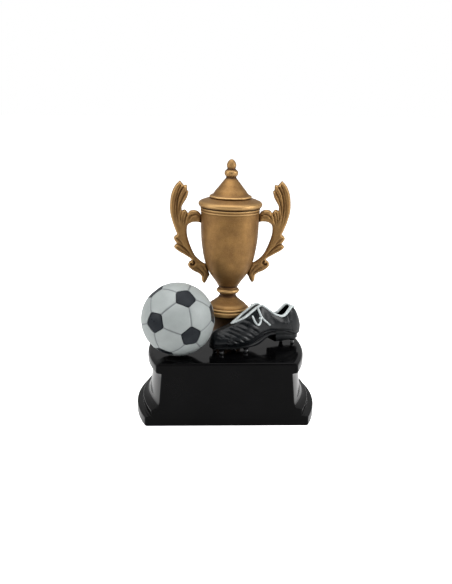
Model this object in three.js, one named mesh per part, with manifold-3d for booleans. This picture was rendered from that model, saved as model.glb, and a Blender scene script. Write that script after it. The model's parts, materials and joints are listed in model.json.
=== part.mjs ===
// Football award: a lidded two-handled cup, a ball and a boot on a black moulded plinth.
// Millimetres. X right, front face towards -Y, Z up, plinth underside on Z = 0.
import * as THREE from 'three';
import { mergeVertices } from 'three/addons/utils/BufferGeometryUtils.js';
import Module from 'manifold-3d';

const wasm = await Module();
wasm.setup();

// ---- driving sizes ----
const GAP = 0.3;              // clearance between neighbouring pieces
const PLINTH_HEIGHT = 32.9;
const PLINTH_DEPTH = 62;      // flat front to flat back
const PLINTH_HALF_WIDTH = 40.9; // foot band, at the front corner
const SIDE_BULGE = 5.5;       // how far each side bows out at mid depth
const PAD_THICKNESS = 0.6;
const CUP_X = 0.7;
const CUP_Y = 7;              // cup axis behind the middle of the plinth
const CUP_LEAN = 1.2;         // degrees to the right; the whole cup and its rod stand along it
const PEDESTAL_RADIUS = 7.6;
const FOOT_RADIUS = 11.4;
const FOOT_BASE = 15.2;       // foot underside above the plinth top
const KNOP_BASE = 25.2;
const BOWL_BASE = 30.8;
const BOWL_RADIUS = 15;
const BOWL_RIM = 71.9;
const LID_HEIGHT = 15.2;      // over the brim's underside, without the finial
const HANDLE_THICKNESS = 5;
const TENON_RADIUS = 1.1;
const ARM_TENON_Z = 67;
const TAIL_TENON_Z = 39.5;
const ROD_RADIUS = 1.4;
const NUT_RADIUS = 3;
const NUT_HEIGHT = 2.4;
const BALL_RADIUS = 18.6;
const BALL_X = -24.6;
const BALL_Y = -16.8;
const BALL_TILT = 15.6;       // a white panel faces the front, tipped up by this angle
const BALL_SPIN = 68.7;
const PANEL_DEPTH = 1.2;
const PANEL_SHARE = 0.9;       // how far a dark panel reaches towards the corners of the pattern
const BOOT_X = -4;
const BOOT_Y = -12.6;
const BOOT_TURN = 25;         // heel swung back from the front
const BOOT_SCALE = 1;
const STUD_HEIGHT = 2.8;
const SHELL = 1.1;            // thickness of the boot upper
const TRIM_RADIUS = 0.62;

// ---- finishes ----
const BLACK_GLOSS = { color: 0x101012, roughness: 0.12, metalness: 0 };
const FELT = { color: 0x1d1d1f, roughness: 0.95, metalness: 0 };
const BRONZE = { color: 0x96734a, roughness: 0.45, metalness: 0.6 };
const DRUM_BROWN = { color: 0x5a4636, roughness: 0.5, metalness: 0.3 };
const STEEL = { color: 0xa8a8ac, roughness: 0.35, metalness: 1 };
const BALL_WHITE = { color: 0xc9d0cc, roughness: 0.4, metalness: 0 };
const BALL_BLACK = { color: 0x26292c, roughness: 0.35, metalness: 0 };
const BOOT_BLACK = { color: 0x23282b, roughness: 0.45, metalness: 0 };
const TRIM_WHITE = { color: 0xd4dcda, roughness: 0.5, metalness: 0 };
const SILVER = { color: 0xc2c4c8, roughness: 0.3, metalness: 0.9 };

const group = new THREE.Group();
group.name = 'award';

function part(parent, name, geometry, finish) {
  const mesh = new THREE.Mesh(geometry, new THREE.MeshStandardMaterial(finish));
  mesh.name = name;
  parent.add(mesh);
  return mesh;
}

function toManifold(geometry) {
  const bare = new THREE.BufferGeometry();
  bare.setAttribute('position', geometry.getAttribute('position'));
  if (geometry.index) bare.setIndex(geometry.index);
  const welded = mergeVertices(bare, 1e-5);
  return new wasm.Manifold(new wasm.Mesh({
    numProp: 3,
    vertProperties: new Float32Array(welded.getAttribute('position').array),
    triVerts: new Uint32Array(welded.index.array),
  }));
}

function fromManifold(solid) {
  const mesh = solid.getMesh();
  const geometry = new THREE.BufferGeometry();
  geometry.setAttribute('position', new THREE.BufferAttribute(mesh.vertProperties, 3));
  geometry.setIndex(new THREE.BufferAttribute(mesh.triVerts, 1));
  geometry.computeVertexNormals();
  return geometry;
}

// A closed body through rings of equal point count, each ring counter-clockwise seen from
// the side the rings advance to, closed by a flat fan at both ends.
function ringBody(rings) {
  const count = rings[0].length;
  const points = rings.flat();
  const faces = [];
  for (let level = 0; level < rings.length - 1; level += 1) {
    for (let i = 0; i < count; i += 1) {
      const j = (i + 1) % count;
      const a = level * count + i;
      const b = level * count + j;
      faces.push(a, b, b + count, a, b + count, a + count);
    }
  }
  const last = (rings.length - 1) * count;
  const ends = [rings[0], rings[rings.length - 1]];
  ends.forEach((ring, side) => {
    const centre = ring.reduce((sum, p) => sum.add(p), new THREE.Vector3()).divideScalar(count);
    points.push(centre);
    const hub = points.length - 1;
    for (let i = 0; i < count; i += 1) {
      const j = (i + 1) % count;
      if (side === 0) faces.push(hub, j, i);
      else faces.push(hub, last + i, last + j);
    }
  });
  const geometry = new THREE.BufferGeometry().setFromPoints(points);
  geometry.setIndex(faces);
  geometry.computeVertexNormals();
  return geometry;
}

function turned(profile, segments = 40) {
  const points = profile.map(([r, z]) => new THREE.Vector2(r, z));
  const geometry = new THREE.LatheGeometry(points, segments);
  geometry.rotateX(Math.PI / 2);
  return geometry;
}

function rod(radius, bottom, top, segments = 16) {
  return turned([[0, bottom], [radius, bottom], [radius, top], [0, top]], segments);
}

// ---- plinth ----
const HALF_DEPTH = PLINTH_DEPTH / 2;
const SIDE_STEPS = 12;

function plinthRing(halfWidth, halfDepth, z) {
  const ring = [];
  for (const side of [1, -1]) {
    for (let i = 0; i <= SIDE_STEPS; i += 1) {
      const y = side * halfDepth * (2 * i / SIDE_STEPS - 1);
      const x = halfWidth + SIDE_BULGE * (1 - (y / HALF_DEPTH) ** 2);
      ring.push(new THREE.Vector3(side * x, y, z));
    }
  }
  return ring;
}

// Side moulding, as [height, set-in from the foot band]
const PLINTH_SIDE = [
  [0, 0.5], [0.5, 0], [4.4, 0], [5, 0.6], [5.02, 3.2], [8.4, 3.2], [9, 3.8],
  [9.6, 5.4], [10.6, 6.7], [12, 7.3], [27.4, 8.6], [27.7, 8.3], [27.9, 6.4], [28.7, 5.84],
  [30.9, 5.84], [32, 6.1], [32.7, 6.8], [PLINTH_HEIGHT, 7.6],
];
const PAD_INSET = 3;
const RECESS = PAD_THICKNESS + GAP;

function plinthBody() {
  const inner = PLINTH_HALF_WIDTH - PAD_INSET;
  const rings = [
    plinthRing(inner, HALF_DEPTH - PAD_INSET, RECESS),
    plinthRing(inner, HALF_DEPTH - PAD_INSET, 0),
  ];
  for (const [z, inset] of PLINTH_SIDE) {
    rings.push(plinthRing(PLINTH_HALF_WIDTH - inset, HALF_DEPTH, z));
  }
  return toManifold(ringBody(rings));
}

const PEG_RADIUS = 1.6;
const PEG_DEPTH = 6;
const COUNTERBORE_DEPTH = 6;
const COUNTERBORE_RADIUS = NUT_RADIUS + 2;
const COUNTERBORE_ROOF = RECESS + COUNTERBORE_DEPTH - PLINTH_HEIGHT;
const ROD_HOLE = ROD_RADIUS + GAP;

// Cup frame: origin where its axis meets the plinth top, Z along the leaning axis
const CUP_PLACE = new THREE.Matrix4()
  .makeRotationY(THREE.MathUtils.degToRad(CUP_LEAN))
  .setPosition(CUP_X, CUP_Y, PLINTH_HEIGHT);

function plinthWithHoles() {
  const rodHole = rod(ROD_HOLE, -PLINTH_HEIGHT - 1, 1).applyMatrix4(CUP_PLACE);
  const bore = rod(COUNTERBORE_RADIUS, -PLINTH_HEIGHT - 1, COUNTERBORE_ROOF, 32);
  bore.applyMatrix4(CUP_PLACE);
  const pegHole = rod(PEG_RADIUS + GAP, PLINTH_HEIGHT - PEG_DEPTH - GAP, PLINTH_HEIGHT + 1);
  pegHole.translate(BALL_X, BALL_Y, 0);
  return fromManifold(plinthBody().subtract(toManifold(rodHole))
    .subtract(toManifold(bore)).subtract(toManifold(pegHole)));
}

part(group, 'plinth', plinthWithHoles(), BLACK_GLOSS);

function padBody() {
  const inset = PAD_INSET + GAP;
  const ring = (z) => plinthRing(PLINTH_HALF_WIDTH - inset, HALF_DEPTH - inset, z);
  const pad = toManifold(ringBody([ring(0), ring(PAD_THICKNESS)]));
  const hole = rod(COUNTERBORE_RADIUS, -PLINTH_HEIGHT - 1, COUNTERBORE_ROOF, 32);
  hole.applyMatrix4(CUP_PLACE);
  return fromManifold(pad.subtract(toManifold(hole)));
}

part(group, 'base_pad', padBody(), FELT);

// ---- cup ----
const cup = new THREE.Group();
cup.name = 'cup';
cup.applyMatrix4(CUP_PLACE);
group.add(cup);

function ringPart(name, outline, finish, segments = 30) {
  return part(cup, name, turned([...outline, outline[0]], segments), finish);
}

const PEDESTAL_TOP = FOOT_BASE - GAP;
ringPart('pedestal', [
  [ROD_HOLE, GAP], [PEDESTAL_RADIUS + 0.8, GAP], [PEDESTAL_RADIUS + 0.8, 1.6],
  [PEDESTAL_RADIUS + 0.2, 2.2], [PEDESTAL_RADIUS - 0.3, 6], [PEDESTAL_RADIUS, 11],
  [PEDESTAL_RADIUS + 1.4, PEDESTAL_TOP], [ROD_HOLE, PEDESTAL_TOP],
], DRUM_BROWN, 24);

ringPart('cup_foot', [
  [ROD_HOLE, FOOT_BASE], [FOOT_RADIUS - 1.4, FOOT_BASE], [FOOT_RADIUS - 0.4, FOOT_BASE + 0.2],
  [FOOT_RADIUS, FOOT_BASE + 0.9], [FOOT_RADIUS, FOOT_BASE + 2.1],
  [FOOT_RADIUS - 0.4, FOOT_BASE + 2.8], [FOOT_RADIUS - 0.9, FOOT_BASE + 3.1],
  [FOOT_RADIUS - 0.4, FOOT_BASE + 3.4], [FOOT_RADIUS - 0.2, FOOT_BASE + 3.9],
  [FOOT_RADIUS - 0.4, FOOT_BASE + 4.4], [FOOT_RADIUS - 1, FOOT_BASE + 4.9],
  [9.2, 21.2], [7.6, 22.3], [6.2, 23.5], [5.1, 24.4], [4.6, KNOP_BASE - GAP],
  [ROD_HOLE, KNOP_BASE - GAP],
], BRONZE);

ringPart('cup_knop', [
  [ROD_HOLE, KNOP_BASE], [4.5, KNOP_BASE], [4.4, 26.6], [4.9, 27], [5.6, 27.4], [5.95, 28.1],
  [5.8, 28.9], [5.2, 29.5], [5, BOWL_BASE - GAP], [ROD_HOLE, BOWL_BASE - GAP],
], BRONZE, 24);

// Bowl outline as [radius, height]: radii as shares of BOWL_RADIUS, heights as shares of the
// way from the bowl's base to its rim.
const BOWL_OUTSIDE = [
  [0.353, 0], [0.393, 0.027], [0.48, 0.073], [0.6, 0.131], [0.713, 0.2], [0.813, 0.285],
  [0.88, 0.37], [0.927, 0.465], [0.967, 0.564], [0.99, 0.674], [1, 0.783], [1.003, 0.88],
  [1.007, 0.945], [1.022, 0.957], [1.007, 0.97], [1.02, 0.985], [1.027, 1],
];
const BOWL_INSIDE = [
  [0.933, 1], [0.927, 0.95], [0.89, 0.905], [0.887, 0.76], [0.873, 0.637], [0.833, 0.49],
  [0.773, 0.38], [0.68, 0.272], [0.56, 0.19], [0.44, 0.137], [0.36, 0.127],
];
const BOWL_HEIGHT = BOWL_RIM - BOWL_BASE;
const BOWL_FLOOR = BOWL_BASE + 0.127 * BOWL_HEIGHT;

function bowlPoints(list) {
  return list.map(([r, t]) => [r * BOWL_RADIUS, BOWL_BASE + t * BOWL_HEIGHT]);
}

function tenonSocket(side, z, from) {
  const hole = rod(TENON_RADIUS + GAP, from, from + 8, 16);
  hole.rotateY(side * Math.PI / 2);
  hole.translate(0, 0, z);
  return toManifold(hole);
}

const ARM_TENON_END = 0.94 * BOWL_RADIUS;
const TAIL_TENON_END = 0.673 * BOWL_RADIUS;

function bowlWithSockets() {
  const outline = [[ROD_HOLE, BOWL_BASE], ...bowlPoints(BOWL_OUTSIDE), ...bowlPoints(BOWL_INSIDE),
    [ROD_HOLE, BOWL_FLOOR], [ROD_HOLE, BOWL_BASE]];
  let solid = toManifold(turned(outline, 36));
  for (const side of [1, -1]) {
    solid = solid.subtract(tenonSocket(side, ARM_TENON_Z, ARM_TENON_END - GAP));
    solid = solid.subtract(tenonSocket(side, TAIL_TENON_Z, TAIL_TENON_END - GAP));
  }
  return fromManifold(solid);
}

part(cup, 'cup_bowl', bowlWithSockets(), BRONZE);

const STEM_RADIUS = 1.2;
const STEM_DEPTH = 2.6;
const LID_BASE = BOWL_RIM + GAP;
const LID_TOP = LID_BASE + LID_HEIGHT;
const SPIGOT_DEPTH = 2;       // the lid's register ring, inside the bowl's mouth

// Lid outline: radii as shares of BOWL_RADIUS, heights above the brim's underside
const LID_INSIDE = [
  [0.17, 8.2], [0.42, 5.4], [0.56, 3.7], [0.8, 2.2], [0.807, -SPIGOT_DEPTH],
  [0.893, -SPIGOT_DEPTH], [0.893, 0],
];
const LID_OUTSIDE = [
  [1.03, 0], [1.075, 0.7], [1.1, 1.3], [1.1, 1.9], [1.085, 2.5], [1.03, 3.1], [0.92, 3.8],
  [0.8, 4.4], [0.715, 4.75], [0.69, 4.95], [0.725, 5.3], [0.715, 5.8], [0.66, 6.3],
  [0.605, 6.8], [0.57, 7.5], [0.51, 8.8], [0.42, 10.4], [0.345, 11.9], [0.265, 13.4],
  [0.2, 14.6], [0.17, LID_HEIGHT],
];

function lidPoints(list) {
  return list.map(([r, h]) => [r * BOWL_RADIUS, LID_BASE + h]);
}

part(cup, 'lid', turned([
  [0, LID_TOP - STEM_DEPTH - 2.4], ...lidPoints(LID_INSIDE), ...lidPoints(LID_OUTSIDE),
  [STEM_RADIUS + GAP, LID_TOP], [STEM_RADIUS + GAP, LID_TOP - STEM_DEPTH - GAP],
  [0, LID_TOP - STEM_DEPTH - GAP],
], 36), BRONZE);

// Finial outline above the lid top: lower bead, waist, upper bead
const FINIAL = [
  [2.6, GAP], [2.75, 0.7], [3.25, 1.3], [3.5, 2.2], [3.4, 3], [2.9, 3.7], [2.25, 4.2],
  [2.15, 4.7], [2.35, 5.4], [2.45, 6.2], [2.25, 7.2], [1.8, 8.1], [1.2, 8.8], [0.6, 9.2], [0, 9.3],
];

part(cup, 'lid_finial', turned([
  [0, LID_TOP - STEM_DEPTH], [STEM_RADIUS, LID_TOP - STEM_DEPTH], [STEM_RADIUS, LID_TOP + GAP],
  ...FINIAL.map(([r, h]) => [r, LID_TOP + h]),
], 20), BRONZE);

// ---- handles ----
// Outline of the right handle as smooth runs, [x from the cup axis, height above the plinth],
// for a bowl of radius 15; x scales with BOWL_RADIUS. A corner stands where one run ends and
// the next begins.
const HANDLE_REFERENCE = 15;
const HANDLE_RUNS = [
  [[26.2, 85.7], [28.6, 83.1], [30.4, 79], [31.1, 74], [31, 69.6], [30, 65.2], [28.5, 60.9],
    [27.2, 57.8]],
  [[27.2, 57.8], [28.6, 56.6], [28.8, 55.2], [27.4, 53]],
  [[27.4, 53], [28.7, 51.2], [27.1, 49.4], [23.9, 47.5], [20.4, 45.4], [19.3, 44.2]],
  [[19.3, 44.2], [20.6, 43.5], [21.3, 42], [20.6, 40.3], [18.2, 38.5], [15.4, 37.2], [14, 35.8]],
  [[14, 35.8], [13.8, 33.4], [12.6, 32.1], [11.5, 33.1], [10.5, 35.2]],
  [[10.5, 35.2], [9.9, 36.6]],
  [[9.9, 36.6], [11.3, 39], [12.7, 42.4]],
  [[12.7, 42.4], [15.1, 44], [17.4, 46.5], [19.4, 50.1], [21.2, 54.8], [22, 58], [22.1, 60.8],
    [21.6, 62.8], [19.7, 64.1], [17, 64.4], [15.5, 64]],
  [[15.5, 64], [15.5, 68]],
  [[15.5, 68], [16.4, 69.9], [18.6, 70.6], [20.7, 70.2], [21.7, 69]],
  [[21.7, 69], [23.2, 70.7], [25, 70.3]],
  [[25, 70.3], [24.9, 72.4], [23.7, 74.6], [22.4, 76.9], [21.6, 80]],
  [[21.6, 80], [22.4, 80.9]],
  [[22.4, 80.9], [22.6, 83.4], [24.1, 83.3]],
  [[24.1, 83.3], [26.2, 85.7]],
];

const HANDLE_STRETCH = BOWL_RADIUS / HANDLE_REFERENCE;
const RUN_STEPS = 3;          // straight pieces between two neighbouring outline points

function handleShape() {
  const outline = [];
  for (const run of HANDLE_RUNS) {
    const curve = new THREE.SplineCurve(run.map(([x, z]) => (
      new THREE.Vector2(x * HANDLE_STRETCH, z))));
    const steps = run.length > 2 ? RUN_STEPS * (run.length - 1) : 1;
    outline.push(...curve.getPoints(steps).slice(0, steps));
  }
  return new THREE.Shape(outline);
}

function handleBody(side) {
  const blank = new THREE.ExtrudeGeometry(handleShape(), {
    depth: HANDLE_THICKNESS,
    bevelEnabled: false,
  });
  blank.translate(0, 0, -HANDLE_THICKNESS / 2);
  blank.rotateX(Math.PI / 2);
  let solid = toManifold(blank);
  const tenons = [[ARM_TENON_Z, ARM_TENON_END, 17], [TAIL_TENON_Z, TAIL_TENON_END, 14]];
  for (const [z, from, to] of tenons) {
    const tenon = rod(TENON_RADIUS, from, to * HANDLE_STRETCH, 16);
    tenon.rotateY(Math.PI / 2);
    tenon.translate(0, 0, z);
    solid = solid.add(toManifold(tenon));
  }
  if (side < 0) solid = solid.mirror([1, 0, 0]);
  return fromManifold(solid);
}

part(cup, 'handle_right', handleBody(1), BRONZE);
part(cup, 'handle_left', handleBody(-1), BRONZE);

// ---- tie rod and nuts ----
const WASHER_THICKNESS = 0.8;
const ROD_END = 1.2;          // rod showing beyond each nut
const TOP_NUT_Z = BOWL_FLOOR + GAP;
const WASHER_Z = COUNTERBORE_ROOF - GAP - WASHER_THICKNESS;
const LOW_NUT_Z = WASHER_Z - GAP - NUT_HEIGHT;

part(cup, 'tie_rod', rod(ROD_RADIUS, LOW_NUT_Z - ROD_END, TOP_NUT_Z + NUT_HEIGHT + ROD_END), STEEL);

function hexNut(name, bottom) {
  const shape = new THREE.Shape();
  for (let i = 0; i < 6; i += 1) {
    const a = i * Math.PI / 3;
    const x = NUT_RADIUS * Math.cos(a);
    const y = NUT_RADIUS * Math.sin(a);
    if (i === 0) shape.moveTo(x, y);
    else shape.lineTo(x, y);
  }
  shape.closePath();
  const hole = new THREE.Path();
  hole.absarc(0, 0, ROD_HOLE, 0, 2 * Math.PI, true);
  shape.holes.push(hole);
  const nut = new THREE.ExtrudeGeometry(shape, { depth: NUT_HEIGHT, bevelEnabled: false });
  nut.translate(0, 0, bottom);
  part(cup, name, nut, STEEL);
}

hexNut('tie_nut_top', TOP_NUT_Z);
hexNut('tie_nut_bottom', LOW_NUT_Z);
ringPart('tie_washer', [
  [ROD_HOLE, WASHER_Z], [NUT_RADIUS + 1, WASHER_Z],
  [NUT_RADIUS + 1, WASHER_Z + WASHER_THICKNESS], [ROD_HOLE, WASHER_Z + WASHER_THICKNESS],
], STEEL, 24);

// ---- ball ----
const ball = new THREE.Group();
ball.name = 'ball';
ball.position.set(BALL_X, BALL_Y, PLINTH_HEIGHT + GAP + BALL_RADIUS);
group.add(ball);

// The twelve dark panels point at the corners of an icosahedron that has one face on +Z.
function panelDirections() {
  const near = 37.377;
  const far = 79.188;
  const list = [];
  for (const [polar, start] of [[near, 0], [far, 60], [180 - far, 0], [180 - near, 60]]) {
    for (let i = 0; i < 3; i += 1) {
      const p = THREE.MathUtils.degToRad(polar);
      const a = THREE.MathUtils.degToRad(start + 120 * i + BALL_SPIN);
      list.push(new THREE.Vector3(Math.sin(p) * Math.cos(a), Math.sin(p) * Math.sin(a), Math.cos(p)));
    }
  }
  const turn = new THREE.Matrix4().makeRotationX(THREE.MathUtils.degToRad(90 - BALL_TILT));
  return list.map((v) => v.applyMatrix4(turn));
}

const DIRECTIONS = panelDirections();

// Corners of one panel: drawn in from the spots a third of the way to each neighbouring panel.
function panelCorners(centre) {
  const near = DIRECTIONS.filter((d) => d.angleTo(centre) > 0.1 && d.angleTo(centre) < 1.3);
  const side = new THREE.Vector3().crossVectors(centre, near[0]).normalize();
  const up = new THREE.Vector3().crossVectors(side, centre);
  near.sort((a, b) => Math.atan2(a.dot(side), a.dot(up)) - Math.atan2(b.dot(side), b.dot(up)));
  return near.map((d) => centre.clone().multiplyScalar(2).add(d).normalize()
    .lerp(centre, 1 - PANEL_SHARE));
}

function panelWedge(centre, shrink, inner, outer) {
  const corners = panelCorners(centre).map((c) => c.lerp(centre, shrink));
  const ring = (radius) => corners.map((c) => c.clone().multiplyScalar(radius / c.dot(centre)));
  return toManifold(ringBody([ring(inner), ring(outer)]));
}

const PANEL_SINK = 0.15;      // panels lie a little below the white skin
const CORNER_ANGLE = Math.atan(PANEL_SHARE * Math.tan(THREE.MathUtils.degToRad(20.08)));
const PANEL_SHRINK = GAP / (BALL_RADIUS * Math.sin(CORNER_ANGLE) * Math.cos(Math.PI / 5));
const POCKET_FLOOR = (BALL_RADIUS - PANEL_DEPTH) * Math.cos(CORNER_ANGLE);

function ballSphere(radius) {
  const sphere = new THREE.SphereGeometry(radius, 30, 20);
  sphere.rotateX(Math.PI / 2);
  return toManifold(sphere);
}

function buildBall() {
  let core = ballSphere(BALL_RADIUS);
  DIRECTIONS.forEach((centre, index) => {
    core = core.subtract(panelWedge(centre, 0, POCKET_FLOOR, BALL_RADIUS + 2));
    const wedge = panelWedge(centre, PANEL_SHRINK, POCKET_FLOOR + GAP, BALL_RADIUS + 2);
    const name = `ball_panel_${String(index + 1).padStart(2, '0')}`;
    part(ball, name, fromManifold(wedge.intersect(ballSphere(BALL_RADIUS - PANEL_SINK))), BALL_BLACK);
  });
  return core;
}

const PEG_BOTTOM = -BALL_RADIUS - GAP - PEG_DEPTH;
const PEG_TOP = -BALL_RADIUS + PEG_DEPTH;

function coreWithPegHole() {
  const hole = rod(PEG_RADIUS + GAP, -BALL_RADIUS - 2, PEG_TOP + GAP);
  return fromManifold(buildBall().subtract(toManifold(hole)));
}

part(ball, 'ball_core', coreWithPegHole(), BALL_WHITE);
part(ball, 'ball_peg', rod(PEG_RADIUS, PEG_BOTTOM, PEG_TOP), STEEL);

// ---- boot ----
// Own frame: x from toe stud line to heel, y away from the front, z above the plinth top.
const boot = new THREE.Group();
boot.name = 'boot';
boot.position.set(BOOT_X, BOOT_Y, PLINTH_HEIGHT);
boot.rotation.z = THREE.MathUtils.degToRad(BOOT_TURN);
boot.scale.setScalar(BOOT_SCALE);
group.add(boot);

// Stations along the boot: [x, centre y, half-width, sole line, top, half-width of the top]
const BOOT_STATIONS = [
  [-4.2, 0, 1.4, 5.2, 7.4, 0.6], [-3.7, 0, 3, 4.6, 9.2, 1.4], [-2.4, 0, 4.4, 4.3, 10.8, 1.8],
  [0, -0.2, 5.6, 4.2, 12, 2.2], [3.5, -0.6, 6.6, 4.1, 13.2, 2.4], [7.5, -1.1, 7.2, 4.1, 14.8, 2.5],
  [12, -1.4, 7.3, 4.4, 17, 2.6], [16, -1.3, 6.9, 5.2, 19.4, 2.8], [20, -1, 6.2, 6.6, 21.8, 3],
  [23, -0.7, 5.7, 7.6, 22.6, 3.3], [26, -0.4, 5.3, 8.3, 20.6, 3.6], [30, -0.1, 5.2, 8.6, 17.8, 4],
  [34, 0, 5.4, 8.4, 16, 4.2], [36.6, 0, 5.5, 8, 16.2, 4.2], [38.9, 0, 5.4, 7.3, 18.2, 3.9],
  [41.2, 0, 5.1, 6.4, 20.2, 3.3], [43.4, 0, 4.5, 5.6, 19, 2.4], [45.4, 0, 3.6, 5.3, 16.4, 1.6],
  [47, 0, 2.5, 6, 13.4, 1], [48, 0, 1.2, 8, 10.8, 0.5],
];

function smoothStations(stations, steps) {
  const rows = [];
  for (let i = 0; i < stations.length - 1; i += 1) {
    const [p0, p1, p2, p3] = [-1, 0, 1, 2].map((k) => (
      stations[Math.min(Math.max(i + k, 0), stations.length - 1)]));
    for (let k = 0; k < steps; k += 1) {
      const t = k / steps;
      rows.push(p1.map((v, c) => v + t * (p2[c] - p0[c]) / 2
        + t * t * (p0[c] - 2.5 * v + 2 * p2[c] - p3[c] / 2)
        + t * t * t * (1.5 * v - 1.5 * p2[c] + (p3[c] - p0[c]) / 2)));
    }
  }
  rows.push(stations[stations.length - 1]);
  return rows;
}

const WALL_STEPS = 7;

function wallWidth(t, half, top) {
  if (t < 0.25) return half * (0.84 + 0.16 * Math.sin(2 * Math.PI * t));
  return top + (half - top) * Math.cos((t - 0.25) * 2 * Math.PI / 3);
}

function bootRing([x, centre, half, base, top, topHalf]) {
  const ring = [];
  for (const side of [1, -1]) {
    for (let i = 0; i <= WALL_STEPS; i += 1) {
      const t = side > 0 ? i / WALL_STEPS : 1 - i / WALL_STEPS;
      ring.push(new THREE.Vector3(x, centre + side * wallWidth(t, half, topHalf),
        base + t * (top - base)));
    }
  }
  return ring;
}

const LAST = smoothStations(BOOT_STATIONS, 2);
const FOOT_OPENING = [21.5, 42.6]; // the hollow for the foot, from and to
const THROAT = [7.5, 21.5];        // the laced slot in front of it
const THROAT_HALF = 1.9;

function hollowRows() {
  return LAST.filter(([x]) => x > FOOT_OPENING[0] && x < FOOT_OPENING[1]).map((row) => {
    const [x, centre, half, base, top, topHalf] = row;
    return [x, centre, half - SHELL, base + SHELL + 1, top + 3, Math.max(topHalf - SHELL, 0.8)];
  });
}

function throatCut(margin, drop, lift) {
  const rows = LAST.filter(([x]) => x > THROAT[0] && x < THROAT[1] + 4);
  const rings = rows.map(([x, centre, , , top]) => {
    const spread = Math.min(1, (x - THROAT[0]) / 6);
    const half = THROAT_HALF * spread - margin;
    const low = top - drop;
    const high = top + lift;
    return [[half, low], [half, high], [-half, high], [-half, low]]
      .map(([y, z]) => new THREE.Vector3(x, centre + y, z));
  });
  return ringBody(rings);
}

const TONGUE_DROP = 1.6;

function upperBody() {
  const outside = toManifold(ringBody(LAST.map(bootRing)));
  const inside = toManifold(ringBody(hollowRows().map(bootRing)));
  const slot = toManifold(throatCut(0, TONGUE_DROP, 6));
  return fromManifold(outside.subtract(inside).subtract(slot));
}

part(boot, 'boot_upper', upperBody(), BOOT_BLACK);

function tongueBody() {
  const rows = LAST.filter(([x]) => x > THROAT[0] + 1 && x < THROAT[1] + 1.5);
  const rings = rows.map(([x, centre, , , top]) => {
    const spread = Math.min(1, (x - THROAT[0]) / 6);
    const half = THROAT_HALF * spread - GAP;
    const low = top - TONGUE_DROP + GAP;
    return [[half, low], [half, top - 0.3], [0, top + 0.2], [-half, top - 0.3], [-half, low]]
      .map(([y, z]) => new THREE.Vector3(x, centre + y, z));
  });
  return ringBody(rings);
}

part(boot, 'boot_tongue', tongueBody(), BOOT_BLACK);

function insoleBody() {
  const rows = hollowRows().filter(([x]) => x > FOOT_OPENING[0] + 1.5 && x < FOOT_OPENING[1] - 1.5);
  const rings = rows.map(([x, centre, half, base]) => {
    const y = half * 0.84 - GAP - 0.2;
    return [[y, base + GAP], [y, base + GAP + 0.7], [-y, base + GAP + 0.7], [-y, base + GAP]]
      .map(([dy, z]) => new THREE.Vector3(x, centre + dy, z));
  });
  return ringBody(rings);
}

part(boot, 'boot_insole', insoleBody(), BOOT_BLACK);

// Underside of the outsole: level forefoot, raised waist, level heel block.
const HEEL_FRONT = 31;
const SOLE_END = 46.5;
const WAIST = [17, 28];

function soleUnderside(x, soleLine) {
  if (x > HEEL_FRONT) return STUD_HEIGHT;
  if (x < WAIST[0]) return STUD_HEIGHT + 0.08 * Math.max(0, 1 - x) ** 2 * 0.4;
  const t = Math.min(1, (x - WAIST[0]) / (WAIST[1] - WAIST[0]));
  return STUD_HEIGHT + (soleLine - 2 - STUD_HEIGHT) * t * t * (3 - 2 * t);
}

function soleRing(x, centre, half, low, high) {
  const shape = [[-0.9, 0], [0.9, 0], [1, 0.3], [1, 0.75], [0.94, 1], [-0.94, 1], [-1, 0.75], [-1, 0.3]];
  return shape.map(([u, v]) => new THREE.Vector3(x, centre + u * half, low + v * (high - low)));
}

function soleBody() {
  const rings = [];
  for (const [x, centre, half, base] of LAST.filter(([along]) => along < SOLE_END)) {
    const wide = half * 0.84 + 0.35;
    const high = base - GAP;
    const near = rings.length > 0 && rings[rings.length - 1][0].x < HEEL_FRONT && x > HEEL_FRONT;
    if (near) rings.push(soleRing(HEEL_FRONT, centre, wide, soleUnderside(HEEL_FRONT, base), high));
    rings.push(soleRing(x, centre, wide, soleUnderside(x, base), high));
  }
  return ringBody(rings);
}

part(boot, 'boot_sole', soleBody(), BOOT_BLACK);

// Studs under the outsole, [x, y], and the bright tip of each.
const STUD_PLACES = [[-0.4, 3.4], [0, -3.6], [11, 3.9], [12.6, -6.2], [38.5, 2.6], [42.6, -2.2]];
const TIP_HEIGHT = 1.3;

STUD_PLACES.forEach(([x, y], index) => {
  const label = String(index + 1);
  const post = new THREE.CylinderGeometry(1.55, 1.25, STUD_HEIGHT - TIP_HEIGHT - 2.5 * GAP, 20);
  post.rotateX(Math.PI / 2);
  post.translate(x, y, (STUD_HEIGHT + TIP_HEIGHT + 0.5 * GAP) / 2);
  part(boot, `boot_stud_${label}`, post, BOOT_BLACK);
  const tip = new THREE.CylinderGeometry(1.2, 0.9, TIP_HEIGHT - 0.5 * GAP, 20);
  tip.rotateX(Math.PI / 2);
  tip.translate(x, y, TIP_HEIGHT / 2 + 0.25 * GAP);
  part(boot, `stud_tip_${label}`, tip, SILVER);
});

function tube(points, radius, steps) {
  const curve = new THREE.CatmullRomCurve3(points.map((p) => new THREE.Vector3(...p)));
  const shape = new THREE.Shape();
  shape.absarc(0, 0, radius, 0, 2 * Math.PI, false);
  return new THREE.ExtrudeGeometry(shape, { steps, curveSegments: 3, extrudePath: curve });
}

const TRIM_LIFT = TRIM_RADIUS + GAP + 0.15;

function throatTrim() {
  const rows = LAST.filter(([x]) => x > THROAT[0] + 1 && x < THROAT[1] + 1);
  const side = (sign) => rows.map(([x, centre, , , top]) => {
    const half = THROAT_HALF * Math.min(1, (x - THROAT[0]) / 6) + 0.5;
    return [x, centre + sign * half, top + TRIM_LIFT];
  });
  const [tip] = rows;
  const point = [THROAT[0] - 0.6, tip[1], tip[4] + TRIM_LIFT - 0.6];
  return tube([...side(-1).reverse(), point, ...side(1)], TRIM_RADIUS, 36);
}

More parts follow.
